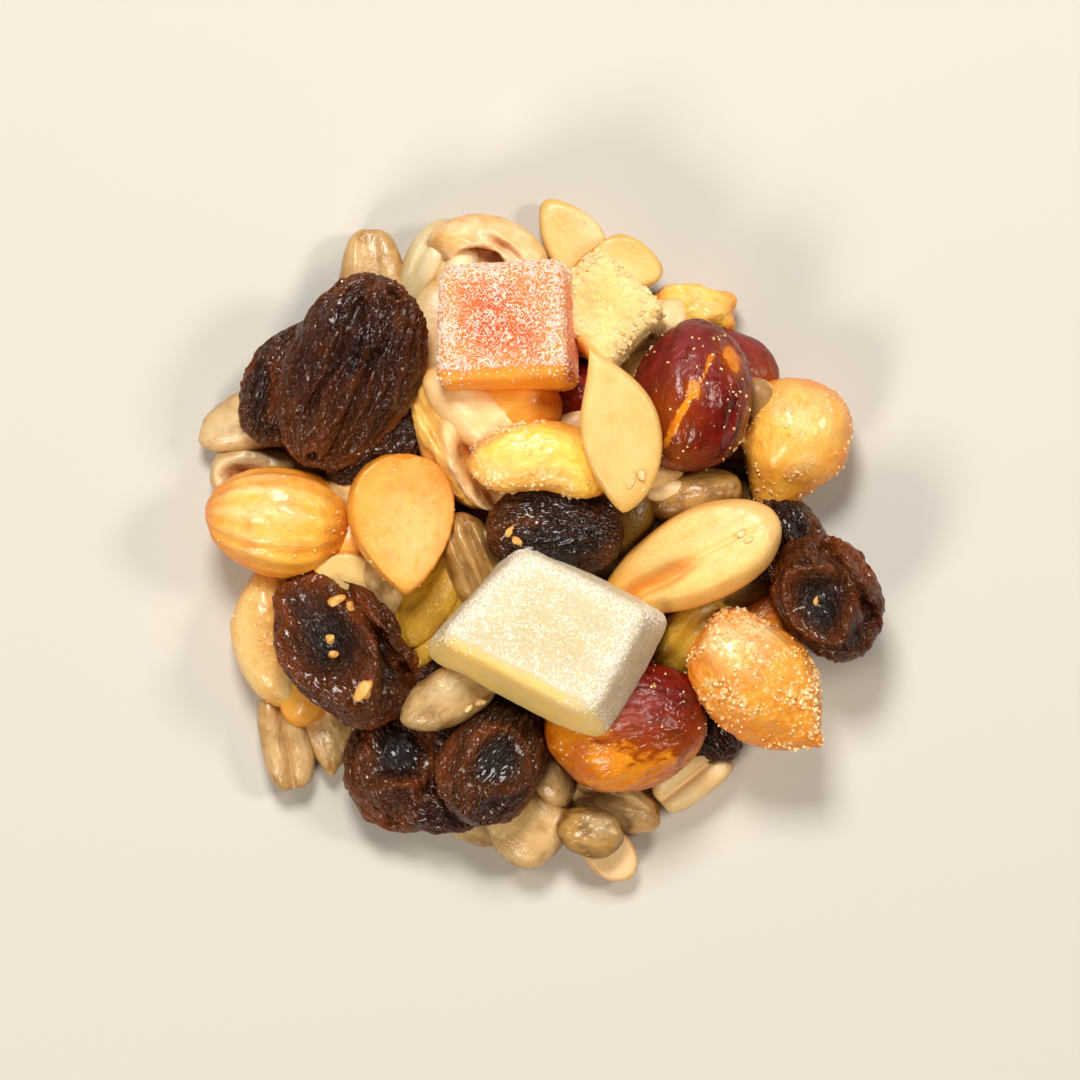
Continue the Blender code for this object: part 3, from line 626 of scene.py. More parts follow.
def write_attribute(mesh: Mesh, name: str, values: np.ndarray) -> None:
    """Stores one value, vector or colour for each point of a mesh.

    Args:
        mesh: The mesh.
        name: Name under which they are stored.
        values: One row, or one number, for each point.
    """
    width = 1 if values.ndim == 1 else values.shape[1]
    kind, slot = {1: ("FLOAT", "value"), 3: ("FLOAT_VECTOR", "vector"), 4: ("FLOAT_COLOR", "color")}[width]
    layer = mesh.attributes.new(name, kind, "POINT")
    layer.data.foreach_set(slot, values.astype(np.float32).ravel())


def plain_mesh(item: Object) -> None:
    """Replaces an object's mesh by what its modifiers make of it, and removes them.

    Args:
        item: The object.
    """
    bpy.context.view_layer.update()
    graph = bpy.context.evaluated_depsgraph_get()
    mesh = bpy.data.meshes.new_from_object(item.evaluated_get(graph), depsgraph=graph)
    item.modifiers.clear()
    item.data = mesh
    mesh.name = item.name


def new_object(name: str, mesh: Mesh) -> Object:
    """Makes an object at the origin and links it to the scene.

    Args:
        name: Its name.
        mesh: Its mesh.

    Returns:
        The object.
    """
    item = bpy.data.objects.new(name, mesh)
    bpy.context.scene.collection.objects.link(item)
    return item


@dataclass(frozen=True)
class Signal:
    """What a node puts out. Sums on signals are written as formulas, and each step adds a node."""

    socket: NodeSocket

    @property
    def tree(self) -> NodeTree:
        """The tree that the node is in."""
        return self.socket.id_data

    def output(self, name: str) -> "Signal":
        """Another output of the same node."""
        return Signal(self.socket.node.outputs[name])

    def step(self, operation: str, first: Any, second: Any = 0.0) -> "Signal":
        """One step of a formula on values."""
        return add_node(self.tree, "ShaderNodeMath", {0: first, 1: second}, operation=operation)

    def vector_step(self, operation: str, other: Any) -> "Signal":
        """One step of a formula on vectors."""
        second = "Scale" if operation == "SCALE" else 1
        return add_node(self.tree, "ShaderNodeVectorMath", {0: self, second: other}, operation=operation)

    def __add__(self, other: Any) -> "Signal":
        """This value and another."""
        return self.step("ADD", self, other)

    def __sub__(self, other: Any) -> "Signal":
        """This value less another."""
        return self.step("SUBTRACT", self, other)

    def __rsub__(self, other: Any) -> "Signal":
        """Another value less this one."""
        return self.step("SUBTRACT", other, self)

    def __mul__(self, other: Any) -> "Signal":
        """This value times another."""
        return self.step("MULTIPLY", self, other)

    def __rtruediv__(self, other: Any) -> "Signal":
        """Another value divided by this one."""
        return self.step("DIVIDE", other, self)

    def __abs__(self) -> "Signal":
        """This value without its sign."""
        return self.step("ABSOLUTE", self)

    def eased(self, low: float, high: float, least: float = 0.0, most: float = 1.0) -> "Signal":
        """The value spread softly from the span low to high onto the span least to most."""
        spans = {"Value": self, "From Min": low, "From Max": high, "To Min": least, "To Max": most}
        return add_node(self.tree, "ShaderNodeMapRange", spans, interpolation_type="SMOOTHSTEP")

    def between(self, first: Any, second: Any) -> "Signal":
        """The first colour turned into the second by this share; each is a signal or sRGB hex."""
        one, two = ((*linear(c), 1.0) if isinstance(c, str) else c for c in (first, second))
        return add_node(self.tree, "ShaderNodeMix", {0: self, 6: one, 7: two}, out=2, data_type="RGBA")


def feed(socket: NodeSocket, value: Any) -> None:
    """Links a signal to an input socket, or sets a plain value there.

    Args:
        socket: The input socket.
        value: The signal or the value.
    """
    if isinstance(value, Signal):
        socket.id_data.links.new(value.socket, socket)
    else:
        socket.default_value = value


def add_node(tree: NodeTree, kind: str, inputs: dict[Any, Any] | None = None, out: Any = 0,
             **settings: Any) -> Signal:
    """Adds a node with its settings, values and links.

    Args:
        tree: The node tree that gets the node.
        kind: Blender's name of the node type.
        inputs: For each input socket a value, or the signal that it is linked to.
        out: Name or number of the output that is wanted.
        **settings: Values of the node's own properties.

    Returns:
        The signal at that output.
    """
    node = tree.nodes.new(kind)
    for name, value in settings.items():
        setattr(node, name, value)
    for name, value in (inputs or {}).items():
        feed(node.inputs[name], value)
    return Signal(node.outputs[out])


# Finishes.


def stored(tree: NodeTree, *names: str) -> list[Signal]:
    """The piece's own values of these names, which its mesh holds at every point."""
    outputs = {"place": "Vector", "tint": "Color", "shade": "Color"}
    return [add_node(tree, "ShaderNodeAttribute", out=outputs.get(name, "Fac"), attribute_name=name)
            for name in names]


def unevenness(place: Signal, spacing: float, stretch: float = 1.0, detail: float = 2.0,
               twist: float = 0.0) -> Signal:
    """A soft random value around 0.5 on the piece's own place.

    Args:
        place: The place on the piece, in mm.
        spacing: Distance between patches in mm.
        stretch: How many times longer than wide the patches are, along the piece.
        detail: How ragged their edges are.
        twist: How much they are swirled.

    Returns:
        The value.
    """
    scaled = place.vector_step("MULTIPLY", (1.0 / stretch, 1.0, 1.0))
    return add_node(place.tree, "ShaderNodeTexNoise",
                    {"Vector": scaled, "Scale": 1.0 / spacing, "Detail": detail, "Distortion": twist})


def pattern(place: Signal, spacing: float, low: float, high: float, stretch: float = 1.0,
            detail: float = 2.0) -> Signal:
    """Soft patches, 0 where the unevenness is low and 1 where it is high."""
    return unevenness(place, spacing, stretch, detail).eased(low, high)


def from_line(place: Signal, spacing: float, stretch: float = 1.0, detail: float = 1.0) -> Signal:
    """How far each point lies from a set of winding lines: 0 on a line and about 0.2 between lines."""
    return abs(unevenness(place, spacing, stretch, detail, 0.4) - 0.5)


def crests(place: Signal, spacing: float, stretch: float = 1.0) -> Signal:
    """Thin winding lines, 1 on the line and 0 between lines."""
    return from_line(place, spacing, stretch).eased(0.13, 0.0)


def bump(height: Signal, depth: float, strength: float) -> Signal:
    """A fine relief for the shader's normal, depth in mm."""
    return add_node(height.tree, "ShaderNodeBump",
                    {"Height": height, "Distance": depth * MM, "Strength": strength})


class Finish:
    """What all finishes share: each names what the sockets of its shader get."""

    name: str

    def sockets(self, tree: NodeTree) -> dict[str, Any]:
        """Says how the shader is set; each finish has its own.

        Args:
            tree: The material's node tree, which gets the finish's patterns.

        Returns:
            A value or a signal for each socket of the shader that isn't left as it is.
        """
        raise NotImplementedError

    def build(self) -> Material:
        """Makes the material.

        Returns:
            A material with a Principled shader whose sockets are set or linked.
        """
        material = bpy.data.materials.new(self.name)
        material.use_nodes = True
        shader = material.node_tree.nodes["Principled BSDF"]
        for name, value in self.sockets(material.node_tree).items():
            feed(shader.inputs[name], value)
        return material


@dataclass(frozen=True)
class RaisinSkin(Finish):
    """Dried grape skin: thin, taut and waxy on its folds, black in the creases, red where light gets in."""

    name: str = "sun dried grape skin"
    dark_hex: str = "1A0602"
    # Dull dark colour of dried skin, also used on hollow floors as painted shade.
    dry_and_shade_hex: str = "1C1411"
    roughness: float = 0.17
    patch_mm: float = 4.2
    wrinkle_mm: float = 0.8

    def sockets(self, tree: NodeTree) -> dict[str, Any]:
        """Dark in patches; lit on pleats and thin folds and, as painted glow, on sides turned away from
        above; dull and black in the hollows, partly dried skin and partly painted shade.

        Args:
            tree: The material's node tree.

        Returns:
            Values and signals by socket.
        """
        place, dry_and_hollow_shade, tint, shade, ridge, side_shade_and_glow, pale = stored(
            tree, "place", "bare", "tint", "shade", "ridge", "side_shade_and_glow", "pale")
        skin = pattern(place, self.patch_mm, 0.36, 0.6, stretch=1.6).between(self.dark_hex, tint)
        clear = pattern(place, self.patch_mm * 0.6, 0.5, 0.72, stretch=2.0)
        # Painted glow: pleat crests, pale patches and sides turned away from above lighten towards amber.
        lit = (clear * 0.5 + ridge * 0.3 + side_shade_and_glow * 0.45 + pale * 0.8) * 0.58
        wrinkles = crests(place, self.wrinkle_mm, 1.8) + crests(place, self.wrinkle_mm * 0.5, 1.3) * 0.5
        return {
            "IOR": 1.38, "Coat Weight": 0.3, "Coat Roughness": 0.05, "Subsurface Weight": 0.2,
            "Subsurface Scale": 1.0 * MM, "Subsurface Radius": (1.0, 0.4, 0.1),
            # Hollow floors and dried patches take the dull dark colour: dried skin, and painted shade in the
            # hollows.
            "Base Color": (dry_and_hollow_shade * 0.85).between(lit.between(skin, shade), self.dry_and_shade_hex),
            "Roughness": dry_and_hollow_shade.eased(0.0, 1.0, self.roughness, self.roughness + 0.12),
            "Normal": bump(wrinkles, 0.14, 1.0),
        }


@dataclass(frozen=True)
class SugaredFruit(Finish):
    """Candied fruit: clear jelly that light gets into, dulled by a crust of fine sugar."""

    name: str
    crust_hex: str
    cut_hex: str
    crust: float
    edge_crust: float = 0.15
    crystal_mm: float = 0.45
    patch_mm: float = 3.0
    depth_mm: float = 1.6
    jelly_share: float = 0.6
    glow: tuple = (1.0, 0.45, 0.2)

    def sockets(self, tree: NodeTree) -> dict[str, Any]:
        """Deeper colour in the heart, the cut side laid bare, and a crust that is thickest on edges.

        Args:
            tree: The material's node tree.

        Returns:
            Values and signals by socket.
        """
        place, rim, cut, tint, shade = stored(tree, "place", "rim", "bare", "tint", "shade")
        heart = rim.eased(0.2, 1.0, 0.0, 0.8) + pattern(place, self.patch_mm, 0.4, 0.7) * 0.4
        open_side = cut * pattern(place, 1.3, 0.1, 0.6, stretch=2.0)
        jelly = open_side.between(heart.between(tint, shade), self.cut_hex)
        cover = rim.eased(0.6, 0.95, self.crust, self.edge_crust) - cut * 0.2
        patchy = cover + pattern(place, self.patch_mm * 0.6, 0.35, 0.65) * 0.025
        frosted = (patchy - from_line(place, self.crystal_mm, detail=2.0)).eased(-0.02, 0.02)
        return {
            "IOR": 1.4, "Subsurface Weight": self.jelly_share, "Subsurface Scale": self.depth_mm * MM,
            "Subsurface Radius": self.glow, "Roughness": 0.48,
            "Base Color": frosted.between(jelly, self.crust_hex),
            "Normal": bump(frosted, 0.08, 0.7),
        }


@dataclass(frozen=True)
class NutFlesh(Finish):
    """Roasted nut or seed: dense oily flesh, browner in patches and along its length, with a satin sheen."""

    name: str
    mottle_mm: float = 3.0
    mottle: float = 0.6
    streak_mm: float = 0.7
    streak: float = 0.4
    roughness: float = 0.42
    coat: float = 0.12
    grain_mm: float = 0.35
    grain_depth: float = 0.05
    depth_mm: float = 0.8
    # How far sides turned away from above are painted in shade, towards the second colour.
    painted_side_shade: float = 0.6
    # Colour of toasted spots, also used on hollow floors as painted shade.
    toast_and_hollow_shade_hex: str = "A8561A"
    pale_hex: str = "FFF0C4"
    palest: float = 0.7
    fleck_mm: float = 0.5
    flecks: float = 0.0

    def sockets(self, tree: NodeTree) -> dict[str, Any]:
        """Browner in patches and streaks; darker in the relief's creases and on sides turned away from above,
        as painted shade; toasted spots, which in hollows are painted shade; chalk-pale spots, which on the
        ridged and coated nuts are painted highlights and on hollow rims painted light; and flecks.

        Args:
            tree: The material's node tree.

        Returns:
            Values and signals by socket.
        """
        place, bare, tint, shade, crease, side_shade_and_glow, pale, grit = stored(
            tree, "place", "bare", "tint", "shade", "crease", "side_shade_and_glow", "pale", "grit")
        mottle = pattern(place, self.mottle_mm, 0.4, 0.7) * self.mottle
        streaks = pattern(place, self.streak_mm, 0.45, 0.7, stretch=6.0) * self.streak
        # Creases of the relief and sides turned away from above are darkened here as painted shade.
        browned_and_shaded = mottle + streaks + crease.eased(0.5, 0.2, 0.0, 0.35) + side_shade_and_glow * self.painted_side_shade
        grain = unevenness(place, self.grain_mm, 1.5, 3.0)
        flesh = (browned_and_shaded + grain * 0.3).between(tint, shade)
        # Toasted spots; on hollow floors this darkening is painted shade.
        toasted_and_hollow_shade = bare * pattern(place, 1.4, 0.2, 0.55, detail=4.0)
        # Pale patches; on the ridged and coated nuts and on hollow rims they are painted highlights.
        chalky_and_highlit = pale * pattern(place, 0.9, 0.2, 0.55, stretch=1.5, detail=3.0)
        flecked = grit * pattern(place, self.fleck_mm, 0.5, 0.66)
        light = chalky_and_highlit * self.palest + flecked * self.flecks
        return {
            "IOR": 1.45, "Coat Weight": self.coat, "Coat Roughness": 0.14, "Subsurface Weight": 0.15,
            "Subsurface Scale": self.depth_mm * MM, "Subsurface Radius": (1.0, 0.55, 0.2),
            "Roughness": self.roughness,
            "Base Color": light.between(toasted_and_hollow_shade.between(flesh, self.toast_and_hollow_shade_hex), self.pale_hex),
            "Normal": bump(grain, self.grain_depth * 2.0, 0.9),
        }


@dataclass(frozen=True)
class RedNutSkin(Finish):
    """Nut in its papery red skin: glossy dark red with fine veins, split open over orange flesh."""

    name: str = "roasted red nut skin"
    dark_hex: str = "4A0502"
    bloom_hex: str = "93302C"
    glow_hex: str = "A24808"
    flesh_hex: str = "EE9418"
    vein_mm: float = 1.3
    roughness: float = 0.25

    def sockets(self, tree: NodeTree) -> dict[str, Any]:
        """Veined skin with a dull bloom, orange flesh in its splits and a glow around them.

        Args:
            tree: The material's node tree.

        Returns:
            Values and signals by socket.
        """
        place, bare, tint, shade, pale, side_shade_and_glow = stored(
            tree, "place", "bare", "tint", "shade", "pale", "side_shade_and_glow")
        veins = pattern(place, self.vein_mm, 0.3, 0.75, stretch=2.5, detail=4.0)
        bloom = pale * pattern(place, 1.6, 0.25, 0.55, detail=4.0)
        papery = (bloom * 0.75).between(veins.between(self.dark_hex, tint), self.bloom_hex)
        glowing = (bare * 1.6).between(papery, self.glow_hex)
        # Exposed flesh turns towards the darker second colour on sides turned away from above, as painted
        # shade.
        flesh = (pattern(place, 2.6, 0.35, 0.7) + side_shade_and_glow * 0.8).between(self.flesh_hex, shade)
        split = (bare + unevenness(place, 0.9, 1.6, 4.0)).eased(1.0, 1.22)
        return {
            "IOR": 1.42, "Coat Weight": 0.05, "Coat Roughness": 0.1, "Subsurface Weight": 0.12,
            "Subsurface Scale": 0.8 * MM, "Subsurface Radius": (1.0, 0.3, 0.1),
            "Base Color": split.between(glowing, flesh),
            "Roughness": bloom.eased(0.0, 1.0, self.roughness, 0.5),
            "Normal": bump(crests(place, 0.8, 1.5), 0.05, 0.7),
        }


@dataclass(frozen=True)
class Crystal(Finish):
    """Sugar or salt grains and nut crumbs: small hard bits, each a little lighter or darker than the next."""

    name: str
    first_hex: str
    second_hex: str
    roughness: float = 0.25
    clear: float = 0.35

    def sockets(self, tree: NodeTree) -> dict[str, Any]:
        """Each grain has its own colour between the two."""
        return {
            "IOR": 1.5, "Roughness": self.roughness, "Subsurface Weight": self.clear,
            "Subsurface Scale": 0.3 * MM, "Subsurface Radius": (1.0, 0.8, 0.6),
            "Base Color": stored(tree, "glint")[0].between(self.first_hex, self.second_hex),
        }


@dataclass(frozen=True)
class PaintedBoard(Finish):
    """Matt painted board under the heap: pale and even, so it gives back a soft shadow and nothing else."""

    name: str = "matt painted board"
    paint_hex: str = "D5D1C9"
    mottle_hex: str = "C6C0B6"

    def sockets(self, tree: NodeTree) -> dict[str, Any]:
        """Dull, with a faint mottle."""
        place = add_node(tree, "ShaderNodeTexCoord", out="Object")
        mottle = add_node(tree, "ShaderNodeTexNoise", {"Vector": place, "Scale": 6.0}) * 0.06
        return {"Roughness": 0.75, "Base Color": mottle.between(self.paint_hex, self.mottle_hex)}


# Trees of geometry nodes.


def new_tree(name: str, sizes: dict[str, float]) -> tuple[NodeTree, dict[str, Signal]]:
    """A tree of geometry nodes with a material and named sizes among its inputs.

    Args:
        name: The tree's name.
        sizes: Names and default values of its inputs.

    Returns:
        The tree, and the signal of each of its inputs by name.
    """
    tree = bpy.data.node_groups.new(name, "GeometryNodeTree")
    tree.interface.new_socket("Geometry", in_out="INPUT", socket_type="NodeSocketGeometry")
    tree.interface.new_socket("Geometry", in_out="OUTPUT", socket_type="NodeSocketGeometry")
    tree.interface.new_socket("Material", in_out="INPUT", socket_type="NodeSocketMaterial")
    for label, value in sizes.items():
        tree.interface.new_socket(label, in_out="INPUT", socket_type="NodeSocketFloat").default_value = value
    given = tree.nodes.new("NodeGroupInput")
    return tree, {label: Signal(given.outputs[label]) for label in ("Geometry", "Material", *sizes)}


def end_tree(given: dict[str, Signal], geometry: Signal) -> NodeTree:
    """Ends a tree in Realize Instances and Set Material.

    Args:
        given: The tree's inputs.
        geometry: What it has made.

    Returns:
        The tree.
    """
    real = add_node(geometry.tree, "GeometryNodeRealizeInstances", {"Geometry": geometry})
    finished = add_node(geometry.tree, "GeometryNodeSetMaterial",
                        {"Geometry": real, "Material": given["Material"]})
    feed(geometry.tree.nodes.new("NodeGroupOutput").inputs[0], finished)
    return geometry.tree


def run_tree(item: Object, tree: NodeTree, material: Material, sizes: dict[str, float]) -> None:
    """Runs the tree on the object and keeps the result as its plain mesh.

    Args:
        item: The object, which holds what the tree starts from.
        tree: The tree.
        material: What the result is made of.
        sizes: Values of the tree's inputs by name.
    """
    modifier = item.modifiers.new(tree.name, "NODES")
    modifier.node_group = tree
    sockets = {entry.name: entry.identifier for entry in tree.interface.items_tree if entry.in_out == "INPUT"}
    modifier[sockets["Material"]] = material
    for name, value in sizes.items():
        modifier[sockets[name]] = value
    plain_mesh(item)


def named(tree: NodeTree, name: str, kind: str = "FLOAT") -> Signal:
    """The mesh's attribute of this name, in a tree of geometry nodes."""
    return add_node(tree, "GeometryNodeInputNamedAttribute", {"Name": name}, out="Attribute", data_type=kind)


def noted(geometry: Signal, name: str, value: Signal, domain: str) -> Signal:
    """The geometry with a value stored on its points or instances under a name."""
    return add_node(geometry.tree, "GeometryNodeStoreNamedAttribute",
                    {"Geometry": geometry, "Name": name, "Value": value}, data_type="FLOAT", domain=domain)


def drawn(tree: NodeTree, least: Any, most: Any, seed: int) -> Signal:
    """A random value for each point or instance, or a random vector where the limits are vectors."""
    kind, first = ("FLOAT_VECTOR", 0) if isinstance(least, tuple) else ("FLOAT", 2)
    return add_node(tree, "FunctionNodeRandomValue", {first: least, first + 1: most, "Seed": seed},
                    out=first // 2, data_type=kind)


def folds(place: Signal, spacing: Signal, folded: Signal) -> Signal:
    """Height from 0 to 1 of a rough surface, or of thin winding ridges.

    Args:
        place: The place on the piece, in mm.
        spacing: Distance between the bumps in mm.
        folded: 0 for soft bumps, 1 for ridges.

    Returns:
        The height.
    """
    soft = add_node(place.tree, "ShaderNodeTexNoise",
                    {"Vector": place, "Scale": 1.0 / spacing, "Detail": 1.0})
    ridge = abs(soft - 0.5).eased(0.2, 0.0)
    return add_node(place.tree, "ShaderNodeMix", {0: folded, 2: soft, 3: ridge})


def relief_tree() -> NodeTree:
    """Gives a surface its small unevenness and stores how deep each point lies in it.

    Returns:
        The tree.
    """
    tree, given = new_tree("surface relief", {
        "Fold spacing": 2.0, "Fold depth": 0.5, "Fine spacing": 0.8, "Fine depth": 0.1, "Stretch": 1.0,
        "Wander": 1.0, "Folded": 1.0,
    })
    place = named(tree, "place", "FLOAT_VECTOR")
    drift = add_node(tree, "ShaderNodeTexNoise", {"Vector": place, "Scale": 0.24, "Detail": 1.0}, out="Color")
    sway = drift.vector_step("SUBTRACT", (0.5, 0.5, 0.5)).vector_step("SCALE", given["Wander"])
    shrink = add_node(tree, "ShaderNodeCombineXYZ", {0: 1.0 / given["Stretch"], 1: 1.0, 2: 1.0})
    along = place.vector_step("ADD", sway).vector_step("MULTIPLY", shrink)
    big, small = (folds(along, given[label], given["Folded"]) for label in ("Fold spacing", "Fine spacing"))
    rise = (big - 0.55) * given["Fold depth"] + (small - 0.55) * given["Fine depth"]
    offset = add_node(tree, "GeometryNodeInputNormal").vector_step("SCALE", rise * named(tree, "relief") * MM)
    shaped = add_node(tree, "GeometryNodeSetPosition", {
        "Geometry": noted(given["Geometry"], "crease", big * 0.65 + small * 0.35, "POINT"), "Offset": offset})
    spot = add_node(tree, "ShaderNodeSeparateXYZ", {0: add_node(tree, "GeometryNodeInputPosition")})
    above = spot.step("MAXIMUM", spot.output("Z"), FLOOR_CLEARANCE * MM)
    raised = add_node(tree, "ShaderNodeCombineXYZ", {0: spot, 1: spot.output("Y"), 2: above})
    rested = add_node(tree, "GeometryNodeSetPosition", {"Geometry": shaped, "Position": raised})
    return end_tree(given, rested)


def scatter_tree() -> NodeTree:
    """Turns a surface into the small blocky grains that lie on it.

    Returns:
        The tree.
    """
    tree, given = new_tree("grains on a surface", {
        "Grain size": 0.3, "Size spread": 0.4, "Grain distance": 0.3, "Grains per mm2": 6.0, "Flatness": 0.8,
    })
    seed = 7
    grit = named(tree, "grit")
    spots = add_node(tree, "GeometryNodeDistributePointsOnFaces", {
        "Mesh": given["Geometry"], "Distance Min": given["Grain distance"] * MM,
        "Density Max": given["Grains per mm2"] * (1.0 / MM**2), "Density Factor": grit, "Seed": seed,
    }, distribute_method="POISSON")
    shape = add_node(tree, "ShaderNodeCombineXYZ", {0: 1.0, 1: given["Flatness"], 2: 0.7})
    turn = drawn(tree, (0.0, 0.0, 0.0), (math.tau, math.tau, math.tau), seed + 1)
    share = drawn(tree, 1.0 - given["Size spread"], given["Size spread"] + 1.0, seed + 2)
    placed = add_node(tree, "GeometryNodeInstanceOnPoints", {
        "Points": spots, "Instance": add_node(tree, "GeometryNodeMeshCube", {"Size": shape}),
        "Rotation": turn, "Scale": share * given["Grain size"] * MM * (grit * 0.7 + 0.55)})
    return end_tree(given, noted(placed, "glint", drawn(tree, 0.0, 1.0, seed + 3), "INSTANCE"))


def fill_tree() -> NodeTree:
    """Covers the hidden mound with plain kernels, which show only through the gaps.

    Returns:
        The tree.
    """
    tree, given = new_tree("kernels under the heap", {
        "Kernel length": 8.5, "Kernel width": 5.0, "Kernel height": 4.0, "Kernel distance": 4.2, "Sunk": 2.0,
    })
    seed = 31
    per_m2 = 4.0e5
    lean = 0.25
    normal = add_node(tree, "GeometryNodeInputNormal")
    upright = add_node(tree, "ShaderNodeSeparateXYZ", {0: normal}, out="Z")
    spots = add_node(tree, "GeometryNodeDistributePointsOnFaces", {
        "Mesh": given["Geometry"], "Selection": upright.step("GREATER_THAN", upright, 0.1),
        "Distance Min": given["Kernel distance"] * MM, "Density Max": per_m2, "Seed": seed,
    }, distribute_method="POISSON")
    lowered = spots.output("Normal").vector_step("SCALE", given["Sunk"] * -MM)
    sunk = add_node(tree, "GeometryNodeSetPosition", {"Geometry": spots, "Offset": lowered})
    ball = add_node(tree, "GeometryNodeMeshUVSphere", {"Segments": 14, "Rings": 9, "Radius": 0.5})
    shape = add_node(tree, "ShaderNodeCombineXYZ", {
        0: given["Kernel length"], 1: given["Kernel width"], 2: given["Kernel height"]})
    turn = drawn(tree, (-lean, -lean, 0.0), (lean, lean, math.tau), seed + 1)
    turned = add_node(tree, "FunctionNodeRotateRotation", {0: spots.output("Rotation"), 1: turn},
                      rotation_space="LOCAL")
    kernel = add_node(tree, "GeometryNodeTransform", {"Geometry": ball, "Scale": shape})
    placed = add_node(tree, "GeometryNodeInstanceOnPoints", {
        "Points": sunk, "Instance": kernel, "Rotation": turned,
        "Scale": drawn(tree, 0.75 * MM, 1.1 * MM, seed + 2)})
    shining = noted(placed, "glint", drawn(tree, 0.0, 1.0, seed + 3), "INSTANCE")
    return end_tree(given, add_node(tree, "GeometryNodeSetShadeSmooth", {"Geometry": shining}))


# What the heap is made of.


@dataclass(frozen=True)
class Relief:
    """Small unevenness of a kind of surface, in mm, and how long it is drawn out."""

    fold_spacing: float
    fold_depth: float
    fine_spacing: float
    fine_depth: float
    stretch: float = 1.0
    wander: float = 1.0
    folded: float = 0.0

    def sizes(self) -> dict[str, float]:
        """The sizes by the names of the tree's inputs."""
        return {
            "Fold spacing": self.fold_spacing, "Fold depth": self.fold_depth,
            "Fine spacing": self.fine_spacing, "Fine depth": self.fine_depth,
            "Stretch": self.stretch, "Wander": self.wander, "Folded": self.folded,
        }


